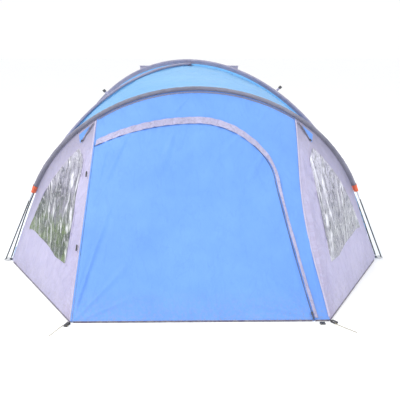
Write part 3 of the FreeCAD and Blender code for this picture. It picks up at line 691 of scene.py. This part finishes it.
def fold(x, y, ax, ay, bx, by, width, height):
    """A tension fold from one point towards another, widening and dying away."""
    along = Vector((bx - ax, by - ay))
    size = along.length
    along /= size
    gap = Vector((x - ax, y - ay))
    run = gap.dot(along)
    if run < -width or run > size + width:
        return 0.0
    off = (gap.x * along.y - gap.y * along.x) / (width * (0.45 + 0.75 * smooth(0, size, run)))
    if abs(off) > 3:
        return 0.0
    ends = smooth(-0.02, 0.10, run) * smooth(size + width, size * 0.55, run)
    return height * ends * (1 - 1.1 * off * off) * exp(-off * off)


def pucker(along, gap, pitch, depth, height, seed):
    """Small gathers that die away from a seam."""
    if gap > 5 * depth:
        return 0.0
    wander = waver(along * 4.0, seed, 0.0) * 5.5
    strength = 0.55 + 0.45 * waver(along * 9.0, 0.0, seed)
    return height * sin(2 * pi * along / pitch + wander) * exp(-gap / depth) * strength


def ruffle(height, scale, seed, lift=0.0):
    """A constant lift with fine unevenness on it."""
    return lambda s, t, point: lift + height * crumple(point, scale, seed)


def grid_faces(lines, column, closed=False, turned=False):
    """Quads between neighbouring lines of a grid of points."""
    faces = []
    for i in range(lines - 1):
        for k in range(column if closed else column - 1):
            a, b = i * column + k, i * column + (k + 1) % column
            quad = (a, b, b + column, a + column) if closed else (a, a + column, b + column, b)
            faces.append(quad[::-1] if turned else quad)
    return faces


def build_mesh(name, points, faces, uvs, material, body="tent", nodes=()):
    """A smooth piece on a body; one named like a CAD node replaces it."""
    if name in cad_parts:
        nodes = nodes or (name,)
        name += "_cloth"
    mesh = bpy.data.meshes.new(name)
    mesh.from_pydata(points, [], faces)
    layer = mesh.uv_layers.new(name="UVMap")
    for loop in mesh.loops:
        layer.data[loop.index].uv = uvs[loop.vertex_index]
    mesh.polygons.foreach_set("use_smooth", [True] * len(mesh.polygons))
    mesh.materials.append(material)
    piece = bpy.data.objects.new(name, mesh)
    bpy.context.scene.collection.objects.link(piece)
    if body:
        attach(piece, body)
    if nodes:
        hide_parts(*nodes)
    return piece


def cloth(name, surface, region, columns, rows, material, wrinkle=None, lift=0.0, body="tent",
          nodes=(), mirror=False, closed=False, flip=1):
    """A sheet over part of a surface, pushed along its outward normal by its wrinkles."""
    shares = [[region(i / columns, j / rows) for j in range(rows + 1)] for i in range(columns + 1)]
    base = [[surface(*share) for share in line] for line in shares]
    points = []
    facing = Vector()
    for i in range(columns + 1):
        for j in range(rows + 1):
            before, after = (i - 1) % columns, (i + 1) % columns
            if not closed:
                before, after = max(i - 1, 0), min(i + 1, columns)
            along = base[after][j] - base[before][j]
            up = base[i][min(j + 1, rows)] - base[i][max(j - 1, 0)]
            normal = along.cross(up)
            normal = normal.normalized() * flip if normal.length > 1e-12 else Vector((0, 0, 1))
            facing += normal
            push = lift
            if wrinkle:
                push += wrinkle(shares[i][j][0], shares[i][j][1], base[i][j])
            point = base[i][j] + normal * push
            points.append(Vector((-point.x, point.y, point.z)) if mirror else point)
    facing.normalize()
    up = Vector((0, 0, 1)) if abs(facing.z) < 0.8 else Vector((0, 1, 0))
    up = (up - facing * up.dot(facing)).normalized()
    across = up.cross(facing)
    if mirror:
        up.x, across.x = -up.x, -across.x
    uvs = [(point.dot(across), point.dot(up)) for point in points]
    faces = grid_faces(columns + 1, rows + 1, turned=mirror != (flip < 0))
    piece = build_mesh(name, points, faces, uvs, material, body, nodes)
    return piece


SEAM_SECTION = ((-0.5, 0.0), (-0.46, 0.7), (-0.2, 1.0), (0.2, 1.0), (0.46, 0.7), (0.5, 0.0))


def seam(name, surface, edge, width, material, flip=1, lift=0.001):
    """A folded seam along a line of shares, drawn in a little between its stitches."""
    steps = count(260)
    nudge = 0.004  # share on each side for a direction
    points, uvs = [], []
    run = 0.0
    last = None
    for i in range(steps + 1):
        p = i / steps
        s, t = edge(p)
        here = surface(s, t)
        ahead = (surface(*edge(min(p + nudge, 1.0))) - surface(*edge(max(p - nudge, 0.0)))).normalized()
        wide = surface(s + nudge, t) - surface(s - nudge, t)
        normal = wide.cross(surface(s, t + nudge) - surface(s, t - nudge)).normalized() * flip
        side = normal.cross(ahead)
        run += (here - last).length if last else 0.0
        last = here
        tuck = 0.0009 * waver(run * 70, 0.0, 3.0)
        for across, height in SEAM_SECTION:
            points.append(here + side * width * across + normal * (lift + 0.0014 * height + tuck * height))
            uvs.append((run, across * width))
    piece = build_mesh(name, points, grid_faces(steps + 1, len(SEAM_SECTION)), uvs, material)


def cap(faces, points, sides):
    """Closes both ends of a tube."""
    faces.append(tuple(range(sides))[::-1])
    faces.append(tuple(range(len(points) - sides, len(points))))
    return faces


def piping(name, first, last, body="tent", nodes=()):
    """Round hem piping between two points, a little uneven."""
    radius, sides = 0.0042, 10
    steps = max(2, round((last - first).length / 0.012))
    ahead = (last - first).normalized()
    side = ahead.orthogonal().normalized()
    other = ahead.cross(side)
    points, uvs = [], []
    for index in range(steps + 1):
        here = first.lerp(last, index / steps)
        for k in range(sides):
            turn = 2 * pi * k / sides
            size = radius * (1 + 0.16 * noise.noise(here * 60 + Vector((k * 0.9, 0, 0))))
            points.append(here + (side * cos(turn) + other * sin(turn)) * size)
            uvs.append(((here - first).length, turn * radius))
    faces = cap(grid_faces(steps + 1, sides, closed=True), points, sides)
    build_mesh(name, points, faces, uvs, BINDING, body, nodes)


RIBBON_SECTION = ((-0.5, -0.3), (-0.42, 0.5), (0, 0.62), (0.42, 0.5), (0.5, -0.3), (0, -0.5))


def ribbon(name, path, facing, width, thick, material):
    """A flat strap along points on a plane that faces one way."""
    points, uvs = [], []
    run = 0.0
    for index, here in enumerate(path):
        ahead = path[min(index + 1, len(path) - 1)] - path[max(index - 1, 0)]
        side = ahead.cross(facing).normalized()
        ahead = ahead.normalized()
        side = (side - ahead * side.dot(ahead)).normalized()
        up = ahead.cross(side)
        if index:
            run += (here - path[index - 1]).length
        for across, height in RIBBON_SECTION:
            points.append(here + side * width * across + up * thick * height)
            uvs.append((run, across * width))
    sides = len(RIBBON_SECTION)
    build_mesh(name, points, cap(grid_faces(len(path), sides, closed=True), points, sides), uvs, material)


# ---- wrinkles of each panel ----

FRONT_FOLDS = (  # x and height of both ends, width and height of the crest, all in metres
    (-0.69, 0.02, -0.47, 0.66, 0.022, 0.0075),
    (-0.69, 0.01, -0.55, 0.44, 0.014, 0.0060),
    (-0.68, 0.01, -0.36, 0.30, 0.020, 0.0060),
    (-0.68, 0.00, -0.30, 0.14, 0.014, 0.0045),
    (-0.40, 0.95, -0.58, 0.60, 0.024, 0.0060),
    (-0.52, 0.90, -0.61, 0.56, 0.015, 0.0045),
    (-0.60, 0.95, -0.44, 0.74, 0.016, 0.0040),
    (0.60, 0.02, 0.22, 0.10, 0.018, 0.0060),
    (0.60, 0.02, 0.34, 0.30, 0.022, 0.0060),
    (0.58, 0.05, 0.47, 0.46, 0.018, 0.0050),
    (0.42, 0.88, 0.26, 0.62, 0.026, 0.0045),
    (0.30, 0.98, 0.05, 0.74, 0.030, 0.0040),
    (-0.12, 0.99, -0.22, 0.72, 0.026, 0.0040),
    (0.10, 0.02, 0.02, 0.34, 0.030, 0.0035),
    (-0.02, 1.17, -0.16, 1.03, 0.014, 0.0040),
    (0.46, 1.10, 0.36, 0.98, 0.016, 0.0040),
    (0.66, 0.04, 0.60, 0.50, 0.012, 0.0040),
)


def front_wrinkle(s, t, point):
    """Tension folds from the door's corners, gathers along the seams and a soft slackness between."""
    x, z = point.x, point.z
    push = sum(fold(x, z, *line) for line in FRONT_FOLDS)
    push += 0.0045 * crumple(point, 0.34, 1.0) + 0.0016 * crumple(point, 0.10, 4.0)
    push += 0.0012 * creases(point, 0.21, 2.0)
    top = (1 - t) * FRONT_RUN
    push += pucker(x, top, 0.045, 0.022, 0.0022, 3.0) * smooth(0, 0.012, top)
    foot = t * FRONT_RUN
    push += pucker(x, foot, 0.065, 0.030, 0.0030, 6.0) * smooth(0, 0.010, foot)
    return push * smooth(0, 0.04, 1 - abs(s)) * smooth(0, 0.012, t) * smooth(0, 0.02, 1 - t)


def door_wrinkle(s, t, point):
    """The door's share of the front folds, with gathers under its zip, flat beside its hinge."""
    push = front_wrinkle(s, t, point)
    below = (DOOR_TOP - t) * FRONT_RUN
    if s < DOOR_SHOULDER:
        push += pucker(point.x, max(below, 0), 0.075, 0.045, 0.0045, 8.0) * smooth(0, 0.02, below)
    return push * smooth(0, 0.03, s - DOOR_LEFT)


def side_wrinkle(s, t, point):
    """Crinkled strips round the window."""
    upright = Vector((point.x * 3.2, point.y * 3.2, point.z))
    push = 0.0080 * crumple(point, 0.17, 11.0) + 0.0060 * crumple(upright, 0.16, 13.0)
    push += 0.0040 * creases(upright, 0.26, 15.0) + 0.0024 * creases(point, 0.06, 17.0)
    push += pucker(point.z, s * 1.1, 0.038, 0.050, 0.0055, 19.0)
    push += fold(s, t * 0.6, 0.02, 0.01, 0.14, 0.30, 0.016, 0.0050)
    push += fold(s, t * 0.6, 0.02, 0.01, 0.30, 0.14, 0.022, 0.0050)
    push += fold(s, t * 0.6, 0.05, 0.56, 0.14, 0.34, 0.016, 0.0045)
    return push * smooth(0, 0.05, s) * smooth(0, 0.05, 1 - s) * smooth(0, 0.015, t) * smooth(0, 0.02, 1 - t)


def vinyl_wrinkle(s, t, point):
    """Stiff clear film: sharp creases and bulges."""
    upright = Vector((point.x * 5.0, point.y * 5.0, point.z))
    push = 0.0042 * crumple(point, 0.15, 21.0) + 0.0034 * crumple(upright, 0.16, 23.0)
    push += 0.0030 * creases(upright, 0.24, 25.0) + 0.0016 * creases(point, 0.07, 27.0)
    push += fold(s, point.z, 0.16, 0.95, 0.30, 0.34, 0.020, 0.0100)
    push += fold(s, point.z, 0.24, 0.90, 0.26, 0.42, 0.012, 0.0070)
    push += fold(s, point.z, 0.40, 0.80, 0.44, 0.36, 0.016, 0.0070)
    return push


def roof_wrinkle(s, t, point):
    """Long soft waves across the porch roof, with gathers along both sleeves."""
    edge = min(t, 1 - t)
    push = 0.0080 * crumple(Vector((point.x, point.y * 0.5, point.z)), 0.24, 31.0)
    push += 0.0030 * crumple(point, 0.08, 33.0) + 0.0026 * creases(point, 0.19, 35.0)
    push += pucker(s * 3.7, edge * 0.95, 0.050, 0.040, 0.0042, 37.0)
    return push * smooth(0, 0.04, edge) * smooth(0, 0.03, min(s, 1 - s))


def dome_wrinkle(seed, half):
    """Folds from the ground corners up the panel, gathers at the pole seams, slack in the middle."""

    def wrinkle(s, t, point):
        wide = half * (1 - t) + 0.05
        gap = (1 - abs(s)) * wide
        x, z = s * half, point.z
        push = 0.0110 * crumple(point, 0.38, seed) + 0.0034 * crumple(point, 0.11, seed + 2)
        push += 0.0030 * creases(point, 0.20, seed + 4)
        for side in (-1, 1):
            push += fold(x * side, z, -half, 0.0, -half * 0.45, 0.62, 0.026, 0.0130)
            push += fold(x * side, z, -half, 0.0, -half * 0.30, 0.26, 0.024, 0.0110)
            push += fold(x * side, z, -half, 0.0, -half * 0.62, 0.80, 0.018, 0.0100)
            push += fold(x * side, z, -half * 0.5, 0.95, -half * 0.2, 0.55, 0.026, 0.0090)
        push += pucker(t * 2.3, gap, 0.052, 0.040, 0.0050, seed + 6)
        push += pucker(x, z, 0.08, 0.05, 0.0060, seed + 8)
        sag = -0.012 * (1 - s * s) * sin(pi * t)
        return (push + sag) * smooth(0, 0.04, gap) * smooth(0, 0.012, t) * smooth(0, 0.04, 1 - t)

    return wrinkle


# ---- cabin ----

PANEL = (0.005, 0.985)  # a cabin panel's foot and top, in shares
SIDES = (("left", False), ("right", True))


def box_outline(half, low, high):
    return (-half, low), (half, low), (half, high), (-half, high)


def make_cabin():
    for side, mirror in SIDES:
        cloth("cabin_side_" + side, cabin_side_surface, whole(-1, 1, *PANEL), count(190), count(190), ROOF,
              dome_wrinkle(41.0 + mirror * 7, CABIN_Y), flip=-1, mirror=mirror)
    vent = box_outline(VENT_HALF, VENT_LOW, VENT_HIGH)
    centre = (0.0, VENT_MIDDLE)
    region, columns = ring(centre, vent, box_outline(1.0, *PANEL), count(360))
    bumps = dome_wrinkle(61.0, CABIN_X)

    def rear_wrinkle(s, t, point):
        out = max(abs(s) - VENT_HALF, VENT_LOW - t, t - VENT_HIGH)
        return bumps(s, t, point) * smooth(0, 0.05, out)

    cloth("cabin_rear", cabin_rear_surface, region, columns, count(80), ROOF, rear_wrinkle,
          flip=-1, closed=True)
    cloth("vent_mesh", cabin_rear_surface, whole(-VENT_HALF, VENT_HALF, VENT_LOW, VENT_HIGH), count(60), count(20),
          MESH, ruffle(0.002, 0.08, 71.0), lift=-0.002, flip=-1)
    inside, outside = (
        [(s * across, VENT_MIDDLE + (t - VENT_MIDDLE) * up) for s, t in vent]
        for across, up in ((0.975, 0.93), (1.03, 1.09))
    )
    band, columns = ring(centre, inside, outside, count(120))
    cloth("vent_binding", cabin_rear_surface, band, columns, 3, BINDING,
          wrinkle=ruffle(0.0006, 0.02, 73.0, 0.0015), flip=-1, closed=True)

    def floor_surface(s, t):
        return Vector((-1.215 + 2.43 * s, -1.018 + 2.048 * t, 0.0016))

    def floor_wrinkle(s, t, point):
        lump = 0.004 * crumple(point, 0.30, 81.0) + 0.003 * creases(point, 0.42, 83.0)
        return max(lump, 0) * smooth(0, 0.02, min(s, t, 1 - s, 1 - t))

    cloth("groundsheet", floor_surface, whole(0, 1, 0, 1), count(160), count(140), FLOOR,
          floor_wrinkle)


# ---- wall and door between the porch and the cabin ----


def wall_surface(x, z):
    return Vector((x, WALL_Y + z * WALL_LEAN, z))


def wall_half(height):
    """Half the wall's width at a height."""
    if height <= roof_line.leg * sin(roof_line.slope):
        u = roof_line.half - height / tan(roof_line.slope)
    else:
        drop = height - roof_line.rise + roof_line.radius
        u = sqrt(max(roof_line.radius ** 2 - drop ** 2, 0))
    return u / DIAGONAL * CABIN_X - 0.016


def bend_points(centre_x, centre_z, reach_x, reach_z):
    """Eight steps of a quarter turn, from level to upright."""
    turns = [radians(90 * step / 8) for step in range(1, 9)]
    return [(centre_x + reach_x * cos(turn), centre_z + reach_z * sin(turn)) for turn in turns]


def doorway(grow):
    left, right, low, top = INNER_LEFT - grow, INNER_RIGHT + grow, INNER_LOW - grow, INNER_TOP + grow
    bend = bend_points(right - INNER_BEND, top - INNER_BEND, INNER_BEND, INNER_BEND)
    return [(left, low), (right, low), (right, top - INNER_BEND), *bend, (left, top)]


def make_inner_wall():
    heights = [0.006 + 0.974 * k / 16 for k in range(17)]
    edge = [(wall_half(z), z) for z in heights] + bend_points(0.0, WALL_TOP, wall_half(WALL_TOP), 0.108)
    outline = edge + [(-x, z) for x, z in reversed(edge[:-1])]
    region, columns = ring(INNER_CENTRE, doorway(0.003), outline, count(260))

    def bumps(x, z, point):
        push = 0.006 * crumple(point, 0.30, 91.0) + 0.002 * creases(point, 0.16, 93.0)
        push += fold(x, z, -1.15, 0.03, -0.70, 0.40, 0.03, 0.008) + fold(x, z, 1.15, 0.03, 0.5, 0.5, 0.04, 0.008)
        out = max(-0.563 - x, x - 0.143, 0.057 - z, z - 0.903)
        return push * smooth(0, 0.06, out) * smooth(0, 0.08, wall_half(min(z, WALL_TOP)) - abs(x))

    cloth("inner_front_wall", wall_surface, region, columns, count(44), INNER, bumps, closed=True)

    def door_region(p, q):
        z = INNER_LOW + (INNER_TOP - INNER_LOW) * q
        bend = max(z - (INNER_TOP - INNER_BEND), 0.0)
        right = INNER_RIGHT - INNER_BEND + sqrt(max(INNER_BEND ** 2 - bend ** 2, 0))
        return INNER_LEFT + (right - INNER_LEFT) * p, z

    def door_bumps(x, z, point):
        push = 0.006 * crumple(point, 0.26, 95.0) + 0.002 * creases(point, 0.14, 97.0)
        push += fold(x, z, -0.55, 0.07, -0.20, 0.50, 0.03, 0.007) + fold(x, z, -0.55, 0.88, -0.2, 0.5, 0.03, 0.006)
        return push * smooth(0, 0.05, min(x - INNER_LEFT, z - INNER_LOW, INNER_RIGHT - x, INNER_TOP - z))

    cloth("inner_door", wall_surface, door_region, count(70), count(90), INNER, door_bumps,
          body="inner_door")
    track = [wall_surface(*point) + Vector((0, -0.002, 0)) for point in doorway(0.009)]
    dense = []
    for first, last in zip(track[:-1], track[1:]):
        steps = max(1, round((last - first).length / 0.02))
        dense += [first.lerp(last, k / steps) for k in range(steps)]
    dense.append(track[-1])
    ribbon("inner_zip", dense, Vector((0, -1, WALL_LEAN)).normalized(), 0.012, 0.002, ZIP)


# ---- porch ----


def make_porch():
    cloth("porch_roof", porch_roof_surface, whole(0.004, 0.996, 0, 1), count(360), count(110), ROOF,
          roof_wrinkle)
    surround = ("door_surround",)
    cloth("front_upper", front_surface, part(0.0, 0.5, surround_shares), count(200), count(36), BLUE,
          front_wrinkle, nodes=surround)
    cloth("front_right", front_surface, part(0.5, 1.0, surround_shares), count(200), count(24), BLUE,
          front_wrinkle, nodes=surround)
    cloth("front_left_facing", front_surface, left_facing, 4, count(160), BLUE)
    cloth("front_right_facing", front_surface, right_facing, 8, count(160), GREY,
          front_wrinkle)
    cloth("door_panel", front_surface, door_shares, count(190), count(190), BLUE, door_wrinkle,
          body="door")
    for name, inner, outer, material in (
        ("door_zip_tape_inner", ZIP_INNER * 0.5, 0.0078, BLUE),
        ("door_zip", 0.0075, 0.0140, ZIP),
        ("door_zip_tape_outer", 0.0137, ZIP_OUTER + TAPE_EDGE, BLUE),
    ):
        band = edge_band(lambda p, at=inner: at, lambda p, at=outer: at)
        cloth(name, front_surface, band, count(360), 3, material)
    make_flap()

    def seam_height(p):
        return 0.012 + 0.978 * p

    seam("seam_front_left", side_surface, lambda p: (0.0065, seam_height(p)), 0.010, SEAM_PALE, flip=-1)
    seam("seam_front_right", front_surface, lambda p: (right_seam(seam_height(p)), seam_height(p)), 0.011, SEAM_PALE,
         lift=0.003)
    # the seam under the porch sleeve is dark partly as painted shade of the sleeve above it
    seam("seam_brow", front_surface, lambda p: (-0.985 + 1.97 * p, 0.992), 0.010, SEAM_DARK)
    make_side_panels()


def make_flap():
    """Storm flap: wide over the top of the zip, narrower down its right side, its free edge gaping a little."""

    def inner(p):
        return 0.001 + 0.020 * smooth(0.46, 0.60, p)

    def outer(p):
        return FLAP_OUTER + 0.006 - 0.010 * smooth(0.50, 0.72, p)

    def lift(s, t, point):
        gape = 0.0035 * crumple(point, 0.06, 51.0) + 0.0022 * sin(point.x * 95 + 2 * crumple(point, 0.1, 52.0))
        return 0.0075 + gape

    cloth("storm_flap", front_surface, edge_band(inner, outer), count(420), 10, FLAP, lift)


def make_side_panels():
    centre = Vector(WINDOW_CENTRE)
    glass = rounded(WINDOW, WINDOW_ROUND, 6)
    region, columns = ring(centre, glass, ((0.0, 0.0), (0.985, 0.0), (0.985, 1.0), (0.0, 1.0)), count(480))
    pane, pane_columns = ring(centre, None, glass, count(420))
    inside, outside = ([tuple(centre + (Vector(point) - centre) * k) for point in glass] for k in (0.955, 1.045))
    band, band_columns = ring(centre, inside, outside, count(260))

    def crinkled(shift):
        return lambda s, t, point: side_wrinkle(s, t, point + shift) * 0.9

    def film(shift):
        """The vinyl's wrinkles, dying away at its sewn edge."""

        def wrinkle(s, t, point):
            out = Vector((s, t)) - centre
            limit = (reach(glass, centre, atan2(out.y, out.x)) - centre).length
            return vinyl_wrinkle(s, t, point + shift) * smooth(0, 0.10, 1 - out.length / limit)

        return wrinkle

    for (side, mirror), glaze in zip(SIDES, (VINYL_LEFT, VINYL_RIGHT)):
        shift = Vector((100.0 * mirror, 0, 0))  # so that the two sides crease differently
        cloth("porch_side_" + side, side_surface, region, columns, count(40), GREY,
              crinkled(shift), flip=-1, mirror=mirror, closed=True)
        cloth("window_" + side, side_surface, pane, pane_columns, count(90), glaze, film(shift),
              lift=-0.001, flip=-1, mirror=mirror, closed=True)
        cloth("window_binding_" + side, side_surface, band, band_columns, 4, GREY,
              wrinkle=ruffle(0.0008, 0.018, 55.0, 0.0022), flip=-1, mirror=mirror, closed=True)


# ---- sleeves ----


def along_pole(pole, line, start, end, steps):
    """For each step its share, run and centre, the directions towards the seam and beside it, and how far it is."""
    for i in range(steps + 1):
        run = start + (end - start) * i / steps
        centre = pole.point(run)
        tangent = pole.tangent(run)
        down = line.point(run / pole.length * line.length) - centre
        down -= tangent * down.dot(tangent)
        far = down.length
        down.normalize()
        yield i / steps, run, centre, down, tangent.cross(down), far


def sleeve(name, pole, line, start, end, radius, material, seed, reach_share, nodes=()):
    """A sewn tube round a pole, gathered, running to a point at the seam where it joins the panels."""
    steps = count(max(12, round((end - start) / 0.006)))
    points, uvs = [], []
    around = 16
    for share, run, centre, down, side, far in along_pole(pole, line, start, end, steps):
        width = radius(share)
        gap = max(far * reach_share, width * 1.12)
        mouth = min(acos(width / gap), 1.3)
        points.append(centre + down * gap)
        uvs.append((run, 0.0))
        for k in range(around + 1):
            turn = mouth + (2 * pi - 2 * mouth) * k / around
            gather = 0.10 * waver(run * 34, cos(turn) * 1.3, seed + sin(turn))
            gather += 0.07 * waver(run * 95, cos(turn) * 0.8, seed + 5 + sin(turn))
            size = width * (1 + gather)
            points.append(centre + (down * cos(turn) + side * sin(turn)) * size)
            uvs.append((run, turn * width))
        points.append(centre + down * gap)
        uvs.append((run, 7.0 * width))
    piece = build_mesh(name, points, grid_faces(steps + 1, around + 3), uvs, material, nodes=nodes)


def seam_web(name, pole, line, start, end):
    """The double layer of panel fabric between a sleeve and its seam, gathered by the stitching."""
    steps = count(round((end - start) / 0.008))
    points, uvs = [], []
    rows = 5
    first, deep = 0.50, 0.53  # where it starts between pole and seam, and how far it goes on
    for _, run, centre, down, side, far in along_pole(pole, line, start, end, steps):
        gap = max(far, 0.012)
        for k in range(rows + 1):
            share = first + deep * k / rows
            ripple = 0.0016 * waver(run * 60, k * 0.4, 9.0) * sin(pi * k / rows)
            points.append(centre + down * gap * share + side * ripple)
            uvs.append((run, gap * share))
    piece = build_mesh(name, points, grid_faces(steps + 1, rows + 1), uvs, ROOF)


def make_sleeves():
    stop = 0.001  # the main sleeves end this far from the crossing
    for ends, pole, line in (
        (("front_left", "rear_right"), pole_low, roof_line),
        (("front_right", "rear_left"), pole_high, roof_mirror),
    ):
        for end, first, last in (
            (ends[0], SLEEVE_FOOT, pole.length - stop),
            (ends[1], pole.length + stop, 2 * pole.length - SLEEVE_FOOT),
        ):
            name = "main_sleeve_" + end
            sleeve(name, pole, line, first, last, lambda share: 0.0100, PALE, len(name) * 1.7, 0.62)
            seam_web("main_seam_" + end, pole, line, first, last)
    name = "porch_sleeve"
    sleeve(name, pole_porch, brow_line, PORCH_SLEEVE_FOOT, 2 * pole_porch.length - PORCH_SLEEVE_FOOT,
           lambda share: 0.0110, DARK, len(name) * 1.7, 1.0)
    number = 0
    for pole, line, foot in (
        (pole_low, roof_line, SLEEVE_FOOT),
        (pole_high, roof_mirror, SLEEVE_FOOT),
        (pole_porch, brow_line, PORCH_SLEEVE_FOOT),
    ):
        first, last = foot - 0.047, foot + 0.006
        for first, last, radius in (
            (first, last, lambda share: 0.0105 + 0.004 * share),
            (2 * pole.length - last, 2 * pole.length - first, lambda share: 0.0145 - 0.004 * share),
        ):
            number += 1
            sleeve("sleeve_end_tab_" + str(number), pole, line, first, last, radius, ORANGE, number * 3.1, 0.8,
                   ("sleeve_end_tabs",) if number == 1 else ())


def make_hems():
    def low(x, y):
        return Vector((x, y, HEM_HEIGHT))

    front, wall = (corner + Vector((0, 0, -FABRIC_FOOT + HEM_HEIGHT)) for corner in (FRONT_CORNER, WALL_CORNER))
    first, last = front.lerp(wall, 0.004), front.lerp(wall, 0.955)
    flip = Vector((-1, 1, 1))
    piping("porch_hem_left", first, last)
    piping("porch_hem_right", first * flip, last * flip)
    piping("porch_hem_short", low((DOOR_FOOT + ZIP_OUTER) * HEM_X + 0.003, HEM_Y), low(HEM_X - 0.004, HEM_Y))
    piping("door_hem", low(DOOR_LEFT * HEM_X + 0.006, HEM_Y), low(DOOR_FOOT * HEM_X, HEM_Y), "door")
    corner = cabin_rear_surface(1, 0.004)
    for side, name in ((-1, "left"), (1, "right")):
        x = side * (corner.x + 0.004)
        piping("cabin_hem_" + name, low(x, -corner.y + 0.03), low(x, corner.y - 0.03), nodes=("cabin_hem",))
    piping("cabin_hem_rear", low(-corner.x + 0.03, corner.y + 0.001), low(corner.x - 0.03, corner.y + 0.001))


# ---- vent hood ----


def between(ends, share):
    return ends[0] + (ends[1] - ends[0]) * share


def hood_surface(s, t):
    return Vector((s * between(HOOD_HALF, t), between(HOOD_Y, t), HOOD_HEIGHT - 0.006 * t))


def rim_shares(p, q):
    """Up the hood's left edge, across its rim and down its right edge."""
    side = -1.0 + 0.13 * q
    deep = 1.0 - 0.09 * q
    if p < 0.3:
        return side, p / 0.3 * deep
    if p < 0.7:
        return side * (1 - 2 * (p - 0.3) / 0.4), deep
    return -side, (1.0 - (p - 0.7) / 0.3) * deep


def gusset_between(side):
    """The cloth that joins the hood's side to the rear panel."""

    def surface(s, t):
        share_x = between(HOOD_HALF, s) / CABIN_X
        share_y = max(between(HOOD_Y, s) / CABIN_Y, share_x)
        high = hood_surface(side * 0.97, s)
        height = roof_line.run_at(-share_y * DIAGONAL) / roof_line.length
        base = cabin_rear_surface(side * share_x / share_y, height)
        return Vector((high.x * 0.94, base.y, base.z + 0.002)).lerp(high, t)

    return surface


def make_hood():
    def bumps(s, t, point):
        push = 0.003 * crumple(point, 0.12, 63.0) + 0.0015 * creases(point, 0.09, 64.0)
        return (push + 0.004 * sin(pi * t) * (1 - s * s)) * smooth(0, 0.05, t)

    cloth("vent_hood", hood_surface, whole(-0.93, 0.93, 0, 0.93), count(80), count(40), ROOF,
          bumps, body="hood")
    cloth("vent_hood_rim", hood_surface, rim_shares, count(160), 6, FLAP, body="hood",
          wrinkle=lambda s, t, point: 0.0022 + bumps(s, t, point), flip=-1)
    for side, name in ((-1, "left"), (1, "right")):
        piece = cloth("vent_gusset_" + name, gusset_between(side), whole(0.02, 0.97, 0, 1), count(40), 8, GREY,
                      body=None,
                      wrinkle=lambda s, t, point: 0.002 * crumple(point, 0.04, 67.0) * sin(pi * t))
        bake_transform(piece)


# ---- small parts ----


def patch_surface(s, t):
    """A square lying over the crossing poles, turned in line with them."""
    size = 0.066
    x, y = Vector((1, 0.85)).normalized(), Vector((-0.85, 1)).normalized()
    flat = x * (s - 0.5) * size + y * (t - 0.5) * size
    return Vector((flat.x, flat.y, APEX_LOW - 0.0122 - 0.2 * (flat.x ** 2 + flat.y ** 2)))


def gusset_shares(p, q):
    a, b, c = (Vector(corner) for corner in GUSSET)
    return tuple(a.lerp(b, p).lerp(c, q))


def zip_shares(p, q):
    return 0.087 - 0.064 * q - 0.012 * (1 - p), 0.918 + 0.064 * q


def make_small_parts():
    cloth("apex_patch", patch_surface, whole(0, 1, 0, 1), 16, 16, PALE,
          wrinkle=ruffle(0.001, 0.012, 75.0))
    for side, mirror in SIDES:
        cloth("corner_gusset_" + side, side_surface, gusset_shares, count(24), count(24), BLUE,
              ruffle(0.0012, 0.02, 77.0, 0.0035), flip=-1, mirror=mirror)
        cloth("gusset_zip_" + side, side_surface, zip_shares, 4, count(50), ZIP, lift=0.0050, flip=-1,
              mirror=mirror)


REFINISH = (
    (POLE, ("main_pole_lower", "main_pole_upper", "porch_pole")),
    (STEEL, ("pole_ferrules", "corner_ring_front_left", "corner_ring_front_right", "corner_ring_rear_left",
             "corner_ring_rear_right")),
    (ELASTIC, ("pole_shock_cords", "toggle_cords")),
    (WEBBING, ("corner_straps", "front_strap_left", "front_strap_right", "guy_tensioners")),
    (PALE, ("guy_loops",)),
    (PLASTIC, ("door_zip_slider", "door_zip_pull", "inner_zip_slider", "gusset_zip_slider_left",
               "gusset_zip_slider_right", "door_toggle_upper", "door_toggle_lower", "ladder_lock", "vent_prop")),
    (PEG, ("peg_left", "peg_right")),
)


def refinish():
    """Better materials on the CAD nodes that stay as they are."""
    for material, names in REFINISH:
        for name in names:
            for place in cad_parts[name].material_slots:
                place.material = material


set_stage()
make_cabin()
make_inner_wall()
make_porch()
make_sleeves()
make_hems()
make_hood()
make_small_parts()
refinish()
